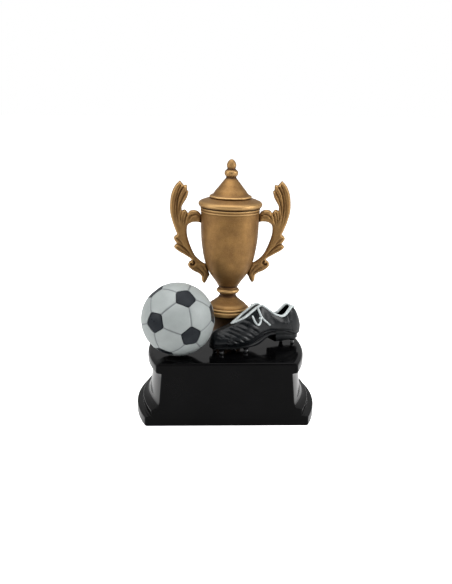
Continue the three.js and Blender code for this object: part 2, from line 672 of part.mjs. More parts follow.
part(boot, 'boot_throat_trim', throatTrim(), TRIM_WHITE);

function collarTrim() {
  const rows = LAST.filter(([x]) => x > THROAT[1] + 3.4 && x < FOOT_OPENING[1] + 0.4);
  const near = rows.map(([x, centre, , , top, topHalf]) => (
    [x, centre - topHalf + SHELL / 2, top + TRIM_LIFT]));
  const far = rows.map(([x, centre, , , top, topHalf]) => (
    [x, centre + topHalf - SHELL / 2, top + TRIM_LIFT]));
  return tube([...near, ...far.reverse()], TRIM_RADIUS, 40);
}

part(boot, 'boot_collar_trim', collarTrim(), TRIM_WHITE);

const LACE_RADIUS = 0.5;
const LACE_OFFSET = -7.2;

part(boot, 'boot_lace', tube([
  [20.6, LACE_OFFSET + 1.4, 21.4], [22, LACE_OFFSET + 0.6, 18.6], [23, LACE_OFFSET + 0.2, 16.6],
  [25, LACE_OFFSET, 14.6], [27.4, LACE_OFFSET, 12.4],
], LACE_RADIUS, 16), TRIM_WHITE);

export default group;
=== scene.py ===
import json
import math
import bmesh
import bpy
import numpy as np
from mathutils import Matrix, Vector
from mathutils.geometry import delaunay_2d_cdt


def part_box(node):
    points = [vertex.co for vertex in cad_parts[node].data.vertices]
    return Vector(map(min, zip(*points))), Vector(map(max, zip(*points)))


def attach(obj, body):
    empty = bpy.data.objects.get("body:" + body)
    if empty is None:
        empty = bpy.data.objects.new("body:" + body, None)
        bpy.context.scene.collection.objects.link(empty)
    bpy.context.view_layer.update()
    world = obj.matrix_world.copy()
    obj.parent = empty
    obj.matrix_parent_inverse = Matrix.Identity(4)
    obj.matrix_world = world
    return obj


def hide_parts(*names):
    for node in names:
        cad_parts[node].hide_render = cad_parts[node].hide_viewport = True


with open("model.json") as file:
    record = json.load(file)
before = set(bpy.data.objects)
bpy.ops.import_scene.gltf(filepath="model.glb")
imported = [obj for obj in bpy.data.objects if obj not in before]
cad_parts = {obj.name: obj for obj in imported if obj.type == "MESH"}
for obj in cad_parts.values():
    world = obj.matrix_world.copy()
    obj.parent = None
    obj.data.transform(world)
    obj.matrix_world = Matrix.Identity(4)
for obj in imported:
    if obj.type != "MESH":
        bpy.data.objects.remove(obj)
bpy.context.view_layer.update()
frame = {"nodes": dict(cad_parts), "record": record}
MM = 0.001


# ---- plinth ----
# One block of cast resin in gloss black lacquer. The front and back are cut flat; the sides bow
# out and carry a foot band, a step, a cove, a waist and a rounded cap.
plinth_low, plinth_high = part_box("plinth")
HALF_DEPTH = (plinth_high[1] - plinth_low[1]) / 2
SIDE_BULGE = 5.5 * MM
FOOT_HALF = (plinth_high[0] - plinth_low[0]) / 2 - SIDE_BULGE
PLINTH_TOP = plinth_high[2]
CORNER = 0.9 * MM


def smooth_run(points, steps):
    """Catmull-Rom curve: between two neighbours, the cubic whose slope at each point is half the
    step from the point before it to the point after it. The curve is sampled steps times a span."""
    p = np.array(points, float)
    ends = np.vstack([2 * p[0] - p[1], p, 2 * p[-1] - p[-2]])
    t = np.linspace(0, 1, steps, endpoint=False)[None, :, None]
    a, b, c, d = ends[:-3, None], ends[1:-2, None], ends[2:-1, None], ends[3:, None]
    spans = 0.5 * (2 * b + (c - a) * t + (2 * a - 5 * b + 4 * c - d) * t ** 2
                   + (3 * b - a - 3 * c + d) * t ** 3)
    return np.vstack([spans.reshape(-1, p.shape[1]), p[-1:]])


def joined_runs(runs, steps):
    """Smooth runs end to end, with a corner where one ends and the next begins."""
    parts = [smooth_run(run, steps)[:-1] for run in runs]
    return np.vstack(parts + [np.array(runs[-1][-1:], float)])


def grid_shell(grid, start_pole=False, end_pole=False):
    """Points and faces of a grid: each row is joined to the next by one band of four-sided faces,
    with the last column beside the first, and a pole closes an end row at its middle.
    Rows that rise and columns that run anticlockwise, seen from above, give faces that look out."""
    rows, cols = grid.shape[:2]
    index = np.arange(rows * cols).reshape(rows, cols)
    right = np.roll(index, -1, axis=1)
    faces = np.stack([index[:-1], right[:-1], right[1:], index[1:]], -1).reshape(-1, 4).tolist()
    points = [grid.reshape(-1, 3)]
    hub = rows * cols
    for wanted, row, step in ((start_pole, 0, -1), (end_pole, rows - 1, 1)):
        if wanted:
            fan = np.stack([np.full(cols, hub), index[row], np.roll(index[row], -1)], -1)
            faces += (fan if step > 0 else fan[:, [0, 2, 1]]).tolist()
            points.append(grid[row].mean(0)[None])
            hub += 1
    return np.vstack(points), faces


def new_piece(name, shells, body, replaced=(), values=None, weld=0.0):
    """One smooth-shaded object of several shells of points and faces. values holds point
    attributes by name, and points closer than weld are merged."""
    offsets = np.cumsum([0] + [len(points) for points, _ in shells])
    faces = [[corner + int(offset) for corner in face]
             for offset, (_, shell_faces) in zip(offsets, shells) for face in shell_faces]
    mesh = bpy.data.meshes.new(name)
    mesh.from_pydata(np.vstack([points for points, _ in shells]).tolist(), [], faces)
    for label, numbers in (values or {}).items():
        mesh.attributes.new(label, "FLOAT", "POINT").data.foreach_set("value", np.ravel(numbers))
    if weld:
        work = bmesh.new()
        work.from_mesh(mesh)
        bmesh.ops.remove_doubles(work, verts=work.verts, dist=weld)
        bmesh.ops.dissolve_degenerate(work, edges=work.edges, dist=weld)
        work.to_mesh(mesh)
        work.free()
    mesh.polygons.foreach_set("use_smooth", np.ones(len(mesh.polygons), bool))
    mesh.update()
    piece = bpy.data.objects.new(name, mesh)
    bpy.context.scene.collection.objects.link(piece)
    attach(piece, body)
    if replaced:
        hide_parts(*replaced)
    return piece


def plan_outline(half_width, half_depth, corner, steps):
    """Plan of a tier, anticlockwise from the middle of the front: straight front, corner arc,
    side x = half_width + bulge * (1 - (y / depth)^2), then the same turned half a circle."""
    lean = math.atan2(2 * SIDE_BULGE, HALF_DEPTH)
    cx = half_width + corner * (math.sin(lean) - 1) / math.cos(lean)
    cy = -half_depth + corner
    front = np.stack([np.linspace(0, cx, 14), np.full(14, -half_depth)], -1)
    angle = np.linspace(-math.pi / 2, -lean, 9)[1:]
    arc = np.stack([cx + corner * np.cos(angle), cy + corner * np.sin(angle)], -1)
    begin = -half_depth + ((cx - half_width) * math.sin(lean) + corner * math.cos(lean)) * math.cos(lean)
    y = np.linspace(begin, -begin, steps)[1:-1]
    x = half_width + SIDE_BULGE * (1 - (y / HALF_DEPTH) ** 2)
    half = np.vstack([front, arc, np.stack([x, y], -1), arc[::-1] * (1, -1), front[::-1] * (1, -1)])
    return np.vstack([half[:-1], -half[:-1]])


# Moulding of the side: [height, set-in of the side, set-in of the front], in millimetres
PLINTH_RUNS = [
    [[0, 0.8, 0.4], [0.12, 0.35, 0.15], [0.5, 0, 0]],
    [[0.5, 0, 0], [2.4, 0, 0], [4.2, 0, 0]],
    [[4.2, 0, 0], [4.65, 0.15, 0], [4.9, 0.6, 0], [5.02, 1.6, 0], [5.05, 2.7, 0]],
    [[5.05, 2.7, 0], [5.25, 3.05, 0], [5.7, 3.2, 0], [7.9, 3.2, 0], [8.4, 3.35, 0], [8.6, 3.9, 0]],
    [[8.6, 3.9, 0], [8.9, 4.7, 0], [9.5, 5.7, 0], [10.4, 6.55, 0], [11.4, 7.1, 0], [12.6, 7.35, 0]],
    [[12.6, 7.35, 0], [19, 7.85, 0], [26.8, 8.5, 0]],
    [[26.8, 8.5, 0], [27.3, 8.3, 0], [27.55, 7.4, 0], [27.7, 6.5, 0]],
    [[27.7, 6.5, 0], [27.9, 6.05, 0], [28.4, 5.84, 0], [30.2, 5.84, 0], [31.3, 5.95, 0],
     [32.1, 6.35, 0.05], [32.6, 6.95, 0.25], [32.85, 7.7, 0.6], [32.9, 8.5, 1.2]],
]
side_profile = joined_runs(PLINTH_RUNS, 4)
side_profile[:, 0] *= PLINTH_TOP / MM / side_profile[-1, 0]
plinth_rows = []
for height, side_in, front_in in np.maximum(side_profile, 0) * MM:
    outline = plan_outline(FOOT_HALF - side_in, HALF_DEPTH - front_in, CORNER, 60)
    plinth_rows.append(np.column_stack([outline, np.full(len(outline), height)]))
top_ring = plinth_rows[-1]
for share in (0.9, 0.6, 0.3):
    plinth_rows.append(top_ring * (share, share, 1))
bottom_ring = plinth_rows[0]
UNDER_RECESS = 0.7
under_rows = [bottom_ring * (share, share, 1) + (0, 0, UNDER_RECESS * MM)
              for share in (0.3, 0.6, 0.9, 0.925)] + [bottom_ring * (0.93, 0.93, 1)]
plinth_shell = grid_shell(np.array(under_rows + plinth_rows), start_pole=True, end_pole=True)
plinth = new_piece("plinth_casting", [plinth_shell], "award", ["plinth"])


def shader(name):
    """A new material, with its node tree and its Principled shader."""
    material = bpy.data.materials.new(name)
    material.use_nodes = True
    tree = material.node_tree
    return material, tree, tree.nodes["Principled BSDF"]


def noise(tree, scale, detail=3.0, roughness=0.55):
    """Fractal noise over Object coordinates, scale in features per metre."""
    place = tree.nodes.new("ShaderNodeTexCoord")
    texture = tree.nodes.new("ShaderNodeTexNoise")
    texture.inputs["Scale"].default_value = scale
    texture.inputs["Detail"].default_value = detail
    texture.inputs["Roughness"].default_value = roughness
    tree.links.new(place.outputs["Object"], texture.inputs["Vector"])
    return texture.outputs["Fac"]


def ramp(tree, source, stops):
    """A colour or value that follows source through stops of (place, value or colour)."""
    node = tree.nodes.new("ShaderNodeValToRGB")
    elements = node.color_ramp.elements
    while len(elements) < len(stops):
        elements.new(0.5)
    for element, (at, value) in zip(elements, stops):
        element.position = at
        element.color = (*value, 1) if isinstance(value, tuple) else (value, value, value, 1)
    tree.links.new(source, node.inputs["Fac"])
    return node.outputs["Color"]


def bump(tree, source, strength, height, under=None):
    """Bump of source, height in metres, over an earlier bump if one is given."""
    node = tree.nodes.new("ShaderNodeBump")
    node.inputs["Strength"].default_value = strength
    node.inputs["Distance"].default_value = height
    tree.links.new(source, node.inputs["Height"])
    if under:
        tree.links.new(under, node.inputs["Normal"])
    return node.outputs["Normal"]


def mixed(tree, factor, one, two):
    """Colour from one to two by factor; each is a socket or a plain colour."""
    node = tree.nodes.new("ShaderNodeMix")
    node.data_type = "RGBA"
    for socket, value in ((node.inputs[0], factor), (node.inputs[6], one), (node.inputs[7], two)):
        if isinstance(value, bpy.types.NodeSocket):
            tree.links.new(value, socket)
        elif isinstance(value, tuple):
            socket.default_value = (*value, 1)
        else:
            socket.default_value = value
    return node.outputs[2]


lacquer, tree, look = shader("black_lacquer")
streaks = noise(tree, 60, 4)
specks = noise(tree, 900, 2)
tree.links.new(mixed(tree, ramp(tree, streaks, [(0.4, 0.0), (0.75, 1.0)]), (0.0008, 0.0008, 0.0009),
                     (0.0018, 0.0018, 0.002)), look.inputs["Base Color"])
tree.links.new(ramp(tree, streaks, [(0.35, 0.07), (0.7, 0.14)]), look.inputs["Roughness"])
tree.links.new(bump(tree, noise(tree, 45, 2), 0.35, 0.0004, bump(tree, specks, 0.12, 0.00004)),
               look.inputs["Normal"])
look.inputs["IOR"].default_value = 1.15
plinth.data.materials.append(lacquer)


# ---- base pad ----
# A thin black felt sheet let into the underside so that the award doesn't scratch a shelf.
felt, tree, look = shader("black_felt")
fibres = noise(tree, 2600, 5, 0.7)
tree.links.new(mixed(tree, fibres, (0.008, 0.008, 0.009), (0.03, 0.03, 0.032)), look.inputs["Base Color"])
tree.links.new(bump(tree, fibres, 0.6, 0.0002), look.inputs["Normal"])
look.inputs["Roughness"].default_value = 0.95
look.inputs["Sheen Weight"].default_value = 0.3
pad = frame["nodes"]["base_pad"]
pad.data.materials.clear()
pad.data.materials.append(felt)


# ---- ball ----
# A solid ball moulded as a stitched football. The white skin has a pressed seam between every
# two six-sided panels, and twelve dark five-sided panels sit in shallow pockets. A steel peg holds it.
BALL_RADIUS = 18.49 * MM
BALL_REST = 0.41 * MM
BALL_TILT = math.radians(15.6)
BALL_SPIN = math.radians(68.7)
SEAM_DEPTH = 0.3 * MM
peg_low, peg_high = (np.array(corner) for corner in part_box("ball_peg"))
ball_centre = np.append((peg_low + peg_high)[:2] / 2, PLINTH_TOP + BALL_REST + BALL_RADIUS)


def dark_panel_directions():
    """The twelve corners of an icosahedron with one face on +Z, at 37.377 and 79.188 degrees from
    each pole, three to a circle, spun about +Z and tipped so that the face looks to the front."""
    polar = np.radians(np.repeat([37.377, 79.188, 100.812, 142.623], 3))
    around = np.radians([0, 120, 240, 60, 180, 300] * 2) + BALL_SPIN
    x, y, z = np.sin(polar) * np.cos(around), np.sin(polar) * np.sin(around), np.cos(polar)
    c, s = math.sin(BALL_TILT), math.cos(BALL_TILT)
    return np.stack([x, c * y - s * z, s * y + c * z], -1)


def ditch(distance, width):
    """A soft groove: 1 in the middle, falling as a bell curve of the given width."""
    return np.exp(-(distance / width) ** 2)


PANEL_SHARE = 0.9
SIDE_CUTS = np.array([0, 0.02, 0.05, 0.09, 0.15, 0.25, 0.38, 0.5, 0.62, 0.75, 0.85, 0.91, 0.95, 0.98])
SEAM_HALF = 0.34 * MM


def panel_ways(corners, shares):
    """Directions on a polar grid over one panel: straight lines from its outline to its middle, cut
    at the given shares of the way out, then every point drawn to unit distance."""
    middle = corners.mean(0)
    across = np.cross(middle, corners[0])
    across /= np.linalg.norm(across)
    ahead = np.cross(across, middle / np.linalg.norm(middle))
    corners = corners[np.argsort(np.arctan2(corners @ across, corners @ ahead))]
    t = SIDE_CUTS[None, :, None]
    edge = corners[:, None] * (1 - t) + np.roll(corners, -1, axis=0)[:, None] * t
    edge = edge.reshape(-1, 3)
    rows = middle + np.broadcast_to(shares, (len(shares), len(edge)))[..., None] * (edge - middle)
    return rows / np.linalg.norm(rows, axis=-1, keepdims=True)


def ball_shell(ways, depths, **poles):
    """Faces over directions, each pushed out to the ball's radius less its depth."""
    radius = BALL_RADIUS - np.broadcast_to(depths, ways.shape[:2])
    return grid_shell(ball_centre + ways * radius[..., None], **poles)


dark_ways = dark_panel_directions()
beside = (dark_ways @ dark_ways.T > 0.4) & (dark_ways @ dark_ways.T < 0.9)
dark_corners = [2 * way + dark_ways[near] for way, near in zip(dark_ways, beside)]
dark_corners = [c / np.linalg.norm(c, axis=1, keepdims=True) for c in dark_corners]
triples = [(i, j, k) for i in range(12) for j in range(i + 1, 12) for k in range(j + 1, 12)
           if beside[i, j] and beside[j, k] and beside[i, k]]
white_corners = [np.array([2 * dark_ways[a] + dark_ways[b] for a in t for b in t if a != b])
                 for t in triples]
white_corners = [c / np.linalg.norm(c, axis=1, keepdims=True) for c in white_corners]

seam_pairs = [(i, j) for i in range(12) for j in range(i + 1, 12) if beside[i, j]]
seam_from = np.array([dark_ways[i] for i, _ in seam_pairs])
seam_pole = np.cross(seam_from, np.array([dark_ways[j] for _, j in seam_pairs]))
seam_pole /= np.linalg.norm(seam_pole, axis=1, keepdims=True)
pair_angle = math.acos(dark_ways[seam_pairs[0][0]] @ dark_ways[seam_pairs[0][1]])
corner_angle = math.atan(PANEL_SHARE * math.tan(math.radians(20.08)))


def seam_depth(ways):
    """Share of the full seam depth in each direction: a bell of the distance to the nearest of the
    thirty arcs that join the facing corners of two neighbouring dark panels."""
    off = ways @ seam_pole.T
    turn = np.arctan2(ways @ np.cross(seam_pole, seam_from).T, ways @ seam_from.T)
    past = np.maximum(np.maximum(corner_angle - turn, turn - pair_angle + corner_angle), 0)
    gap = np.sqrt(off ** 2 + past ** 2).min(-1) * BALL_RADIUS
    return np.exp(-(gap / SEAM_HALF) ** 1.7)


# Shares of the way out for the rows of a white panel, of the white collar round a dark panel, of the
# pocket below it and of the dark panel itself, and how deep the surface lies on each row
white_out = 1 - np.array([0, 0.012, 0.026, 0.042, 0.062, 0.09, 0.14, 0.24, 0.42, 0.7])[:, None]
collar_out = 1 - (1 - PANEL_SHARE) * np.array([0, 0.16, 0.38, 0.58, 0.74, 0.85, 0.93, 0.97, 1])
collar_sink = np.array([0, 0, 0, 0, 0, 0.01, 0.06, 0.16, 0.34]) * MM
pocket_out = PANEL_SHARE * np.array([1, 0.994, 0.988, 0.5])
pocket_sink = np.array([0.34, 0.8, 1.05, 1.05]) * MM
dark_out = PANEL_SHARE * (1 - np.array([0.5, 0.05, 0.03, 0.022, 0.024, 0.04, 0.07, 0.13, 0.22, 0.4, 0.7]))
dark_sink = np.array([0.95, 0.95, 0.9, 0.6, 0.4, 0.27, 0.2, 0.18, 0.2, 0.24, 0.28]) * MM
corner_cut = np.tile(0.05 * np.maximum(ditch(SIDE_CUTS, 0.09), ditch(SIDE_CUTS - 1, 0.09)), 5)


def rounded(shares):
    """Shares with each corner of the five-sided outline drawn in, by less outside the dark panel."""
    keep = np.clip((1 - shares) / (1 - PANEL_SHARE), 0, 1)[:, None]
    return shares[:, None] * (1 - corner_cut[None] * keep)


skin_shells = []
skin_seams = []
for corners in white_corners:
    ways = panel_ways(corners, white_out)
    seams = seam_depth(ways)
    skin_shells.append(ball_shell(ways, SEAM_DEPTH * seams, end_pole=True))
    skin_seams.append(np.append(np.ravel(seams), 0))
for corners in dark_corners:
    ways = panel_ways(corners, rounded(collar_out))
    seams = seam_depth(ways)
    skin_shells.append(ball_shell(ways, np.maximum(SEAM_DEPTH * seams, collar_sink[:, None])))
    skin_seams.append(np.ravel(seams))
    ways = panel_ways(corners, rounded(pocket_out))
    skin_shells.append(ball_shell(ways, pocket_sink[:, None], end_pole=True))
    skin_seams.append(np.ones(len(skin_shells[-1][0])))
ball_skin = new_piece("ball_skin", skin_shells, "award", ["ball_core"],
                      {"seam": np.concatenate(skin_seams)}, weld=0.01 * MM)

dark_panels = []
for number, corners in enumerate(dark_corners, 1):
    label = f"{number:02d}"
    ways = panel_ways(corners, rounded(dark_out))
    shell = ball_shell(ways, dark_sink[:, None], start_pole=True, end_pole=True)
    dark_panels.append(new_piece("dark_panel_" + label, [shell], "award", ["ball_panel_" + label]))


def attribute(tree, name):
    """The value of a point attribute."""
    node = tree.nodes.new("ShaderNodeAttribute")
    node.attribute_name = name
    return node.outputs["Fac"]


skin_paint, tree, look = shader("ball_skin_paint")
grime = ramp(tree, noise(tree, 120, 4, 0.6), [(0.35, 0.0), (0.75, 1.0)])
clean = mixed(tree, grime, (0.272, 0.296, 0.29), (0.222, 0.243, 0.24))
seam = attribute(tree, "seam")
tree.links.new(mixed(tree, seam, clean, (0.11, 0.118, 0.125)), look.inputs["Base Color"])
tree.links.new(ramp(tree, noise(tree, 200, 3), [(0.3, 0.4), (0.7, 0.52)]), look.inputs["Roughness"])
pores = bump(tree, noise(tree, 2200, 3), 0.25, 0.00005)
tree.links.new(bump(tree, noise(tree, 90, 2), 0.3, 0.0003, pores), look.inputs["Normal"])
ball_skin.data.materials.append(skin_paint)

panel_paint, tree, look = shader("dark_panel_paint")
wear = ramp(tree, noise(tree, 160, 4, 0.6), [(0.4, 0.0), (0.8, 1.0)])
tree.links.new(mixed(tree, wear, (0.006, 0.008, 0.011), (0.016, 0.019, 0.023)), look.inputs["Base Color"])
tree.links.new(ramp(tree, noise(tree, 260, 3), [(0.3, 0.26), (0.7, 0.42)]), look.inputs["Roughness"])
tree.links.new(bump(tree, noise(tree, 150, 3), 0.45, 0.0004), look.inputs["Normal"])
look.inputs["Specular IOR Level"].default_value = 0.12
for panel in dark_panels:
    panel.data.materials.append(panel_paint)


# ---- boot upper ----
# The upper of the football boot, cast hollow round the foot. It narrows to a creased, quilted toe,
# has a laced slot down the instep, and a collar that dips at the ankle and rises to the heel.
BOOT_STATIONS = np.array([
    # along, middle, half-width, sole line, top, half-width of the top (millimetres)
    [-4.2, 0, 1.4, 5.2, 7.4, 0.6], [-3.7, 0, 3, 4.6, 9.2, 1.4], [-2.4, 0, 4.4, 4.3, 10.8, 1.8],
    [0, -0.2, 5.6, 4.2, 12, 2.2], [3.5, -0.6, 6.6, 4.1, 13.2, 2.4], [7.5, -1.1, 7.2, 4.1, 14.8, 2.5],
    [12, -1.4, 7.3, 4.4, 17, 2.6], [16, -1.3, 6.9, 5.2, 19.4, 2.8], [20, -1, 6.2, 6.6, 21.8, 3],
    [23, -0.7, 5.7, 7.6, 22.6, 3.3], [26, -0.4, 5.3, 8.3, 20.6, 3.6], [30, -0.1, 5.2, 8.6, 17.8, 4],
    [34, 0, 5.4, 8.4, 16, 4.2], [36.6, 0, 5.5, 8, 16.2, 4.2], [38.9, 0, 5.4, 7.3, 18.2, 3.9],
    [41.2, 0, 5.1, 6.4, 20.2, 3.3], [43.4, 0, 4.5, 5.6, 19, 2.4], [45.4, 0, 3.6, 5.3, 16.4, 1.6],
    [47, 0, 2.5, 6, 13.4, 1], [48, 0, 1.2, 8, 10.8, 0.5]])
THROAT_START = 7.5
THROAT_END = 21.5
THROAT_HALF = 1.9
THROAT_DROP = 1.6
OPENING_END = 42.6
SHELL = 1.1
FLOOR_LIFT = 2.1
FRONT_STUD = np.array([-0.4, 3.4])
HEEL_STUD = np.array([38.5, 2.6])
boot_smooth = smooth_run(BOOT_STATIONS, 8)


def stud_middle(number):
    """Middle of a stud in the plan, in metres."""
    low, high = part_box(f"boot_stud_{number}")
    return np.array([low[0] + high[0], low[1] + high[1]]) / 2


stud_line = stud_middle(5) - stud_middle(1)
stud_step = HEEL_STUD - FRONT_STUD
boot_turn = math.atan2(stud_line[1], stud_line[0]) - math.atan2(stud_step[1], stud_step[0])
boot_axes = np.array([[math.cos(boot_turn), math.sin(boot_turn)],
                      [-math.sin(boot_turn), math.cos(boot_turn)]])
boot_origin = stud_middle(1) - FRONT_STUD @ boot_axes * MM


def boot_place(points):
    """From the boot's own millimetres (along, away from the front, above the plinth) to metres."""
    points = np.asarray(points, float)
    plan = points[..., :2] @ boot_axes * MM + boot_origin
    return np.concatenate([plan, points[..., 2:] * MM + PLINTH_TOP], -1)


def station(x):
    """Middle, half-width, sole line, top and half-width of the top at places x along the boot."""
    return [np.interp(x, boot_smooth[:, 0], boot_smooth[:, column]) for column in range(1, 6)]


def wall_width(t, half, top):
    """Half-width of the wall at share t of its height: it swells from 0.84 to 1 of the full
    half-width in the lowest quarter, then follows a cosine in to the half-width of the top."""
    low = half * (0.84 + 0.16 * np.sin(2 * np.pi * np.minimum(t, 0.25)))
    high = top + (half - top) * np.cos(np.maximum(t - 0.25, 0) * 2 * np.pi / 3)
    return np.where(t < 0.25, low, high)


def ease(x, start, end):
    """Smooth step from 0 at start to 1 at end."""
    t = np.clip((x - start) / (end - start), 0, 1)
    return t * t * (3 - 2 * t)


along = np.unique(np.concatenate([
    -4.2 + 8 * np.linspace(0, 1, 26) ** 1.5, np.linspace(3.8, 21, 90), np.linspace(21, 25, 22),
    np.linspace(25, 42.1, 56), np.linspace(42.1, 43.4, 22),
    48 - 4.6 * np.linspace(1, 0, 26) ** 1.5]))[:, None]
middle, half, base, top, top_half = station(along)
open_half = THROAT_HALF * np.clip((along - THROAT_START) / 6, 0, 1)
into_foot = ease(along, THROAT_END - 0.5, THROAT_END + 2)
close_heel = 1 - ease(along, OPENING_END - 0.15, OPENING_END + 0.3)
open_half = (open_half * (1 - into_foot) + (top_half - SHELL) * into_foot) * close_heel
drop = THROAT_DROP * ease(along, THROAT_START, THROAT_START + 1.5) * (1 - into_foot)
drop = (drop + (top - base - FLOOR_LIFT) * into_foot) * close_heel

# Half of one ring, from the middle of the underside, up the wall, over the rim and down inside
up = np.linspace(0, 1, 46)
over = np.linspace(0, 1, 8)[1:]
down = np.linspace(0, 1, 12)[1:]
inward = np.linspace(1, 0, 4)[1:]
wall = wall_width(up, half, top_half)
inside_t = 1 - down * (1 - FLOOR_LIFT / (top - base))
inside = (wall_width(inside_t, half, top_half) - SHELL) * close_heel
inside = open_half * (1 - into_foot) + np.maximum(inside, 0) * into_foot
rim = top_half + (open_half - top_half) * over
rim_lift = 0.45 * np.sin(np.pi * over) * ease(open_half, 0.1, 1.2)
rim_lift = rim_lift + 0.5 * over * (1 - ease(open_half, 0, 0.6))
rim_end = rim_lift[:, -1:]
half_y = np.hstack([wall[:, :1] * 0.0, wall[:, :1] * 0.5, wall, rim, inside, inside[:, -1:] * inward])
half_z = np.hstack([base, base, base + up * (top - base), top + rim_lift, top - down * drop + rim_end,
                    np.repeat(top - drop + rim_end, 3, axis=1)])
half_t = np.hstack([np.zeros((len(along), 2)), np.repeat(up[None], len(along), 0),
                    np.ones((len(along), half_y.shape[1] - 2 - len(up)))])
ring_y = np.hstack([half_y, -half_y[:, -2:0:-1]])
ring_z = np.hstack([half_z, half_z[:, -2:0:-1]])
ring_t = np.hstack([half_t, half_t[:, -2:0:-1]])
ring_x = np.repeat(along, ring_y.shape[1], axis=1)
on_wall = ((ring_t > 0) & (ring_t < 1)).astype(float)

# Creases across the vamp, a quilted toe, a toe seam, a heel seam and a groove over the sole
lean_back = ring_x - 12.5 * (0.9 - ring_t)
vamp = ease(ring_x, 1, 4) * (1 - ease(ring_x, 17, 22))
vamp = vamp * ease(ring_t, 0.1, 0.25) * (1 - ease(ring_t, 0.86, 0.98))
folds = sum(depth * ditch(lean_back - place, width) for place, depth, width in
            ((-4.6, 0.35, 0.8), (-1.6, 0.55, 0.9), (1.8, 0.35, 0.7), (5.1, 0.6, 0.9), (7.8, 0.4, 0.7),
             (10.7, 0.6, 0.8), (13.6, 0.3, 0.7)))
folds = folds - 0.12 * np.sin(lean_back * 2.1 + 0.6) * np.sin(ring_t * 9 + lean_back * 0.4)
quilt_place = (1 - ease(ring_x, 6.5, 9)) * ease(ring_t, 0.5, 0.62)
QUILT_STEP = 1.7
quilt = np.maximum(*(ditch(slant % QUILT_STEP - QUILT_STEP / 2, 0.22)
                     for slant in (ring_x + ring_y + 40, ring_x - ring_y + 40)))
toe_seam = ditch(ring_x - 1.8 + 5.5 * (ring_t - 0.4) ** 2, 0.28) * (1 - ease(ring_t, 0.6, 0.75))
heel_seam = ditch(ring_x - 38.6 - 4 * (0.9 - ring_t) ** 2, 0.22) * ease(ring_x, 36, 37)
sole_groove = ditch(ring_t - 0.085, 0.022)
side_roll = np.sin(ring_x * 0.55 + 3 * ring_t) * np.sin(ring_t * 7) * ease(ring_x, 16, 24)
relief = (vamp * folds * 0.85 + 0.16 * quilt * quilt_place + 0.3 * toe_seam + 0.14 * heel_seam
          + 0.3 * sole_groove + 0.12 * side_roll) * on_wall
across = np.stack([ring_x * 0, np.roll(ring_y, -1, 1) - np.roll(ring_y, 1, 1),
                   np.roll(ring_z, -1, 1) - np.roll(ring_z, 1, 1)], -1)
length = np.maximum(np.linalg.norm(across, axis=-1), 1e-6)
out_y, out_z = across[..., 2] / length, -across[..., 1] / length
boot_grid = np.stack([ring_x, middle + ring_y - relief * out_y, ring_z - relief * out_z], -1)
# Mask of where the relief sinks in, for the painted shade in the creases
crease_shade = np.clip(relief / 0.5, 0, 1)
boot_shell = grid_shell(boot_place(boot_grid), start_pole=True, end_pole=True)
boot_upper = new_piece("boot_upper_skin", [boot_shell], "award", ["boot_upper"],
                       {"crease_shade": np.append(np.ravel(crease_shade), [0, 0])}, weld=0.01 * MM)

boot_paint, tree, look = shader("boot_paint")
scuffs = ramp(tree, noise(tree, 220, 4, 0.6), [(0.45, 0.0), (0.8, 1.0)])
clean = mixed(tree, scuffs, (0.0026, 0.0037, 0.0046), (0.0062, 0.0082, 0.01))
# Painted shade: the creases and seams of the relief take a flat darker black
shaded_in_creases = mixed(tree, attribute(tree, "crease_shade"), clean, (0.003, 0.004, 0.005))
tree.links.new(shaded_in_creases, look.inputs["Base Color"])
tree.links.new(ramp(tree, noise(tree, 320, 3), [(0.3, 0.24), (0.7, 0.44)]), look.inputs["Roughness"])
pores = bump(tree, noise(tree, 1900, 3), 0.4, 0.0001)
tree.links.new(bump(tree, noise(tree, 260, 3), 0.5, 0.0005, pores), look.inputs["Normal"])
look.inputs["Specular IOR Level"].default_value = 0.19
look.inputs["Coat Weight"].default_value = 0.12
look.inputs["Coat Roughness"].default_value = 0.15
boot_upper.data.materials.append(boot_paint)


# ---- boot tongue, insole and lining ----
# A padded tongue fills the laced slot and curls up past it. The insole, deep in the foot opening,
# keeps its plain shape.
def swept_shell(path, half_width, half_height, squareness=1.0, steps=24):
    """A closed tube along a path: at each point an oval section, its axes the path's level normal
    and the direction square to both, |cos| and |sin| raised to the power given. Its ends are shut."""
    path = np.asarray(path, float)
    ahead = np.gradient(path, axis=0)
    ahead /= np.linalg.norm(ahead, axis=1, keepdims=True)
    level = np.cross(ahead, (0, 0, 1.0))
    level /= np.maximum(np.linalg.norm(level, axis=1, keepdims=True), 1e-6)
    raised = np.cross(level, ahead)
    angle = np.linspace(0, 2 * np.pi, steps, endpoint=False)
    c = np.sign(np.cos(angle)) * np.abs(np.cos(angle)) ** squareness
    s = np.sign(np.sin(angle)) * np.abs(np.sin(angle)) ** squareness
    wide = np.broadcast_to(half_width, len(path))[:, None, None] * level[:, None]
    high = np.broadcast_to(half_height, len(path))[:, None, None] * raised[:, None]
    grid = path[:, None] + wide * c[None, :, None] + high * s[None, :, None]
    return grid_shell(grid[:, ::-1], start_pole=True, end_pole=True)


tongue_x = np.linspace(THROAT_START + 1.6, THROAT_END + 2.6, 60)
tongue_middle, _, _, tongue_top, _ = station(tongue_x)
tongue_path = np.stack([tongue_x, tongue_middle, tongue_top - 0.75 + 0.35 * ease(tongue_x, 19, 23)], -1)
tongue_end = np.sqrt(np.clip(1 - ((tongue_x - 16.6) / 7.6) ** 8, 0, 1)) + 0.02
tongue_half = np.minimum(THROAT_HALF * (tongue_x - THROAT_START) / 6, THROAT_HALF) - 0.28
tongue_shell = swept_shell(boot_place(tongue_path), tongue_half * tongue_end * MM,
                           (0.72 - 0.1 * np.sin(tongue_x * 2.4)) * tongue_end * MM, 0.8)
boot_tongue = new_piece("boot_tongue_pad", [tongue_shell], "award", ["boot_tongue"])

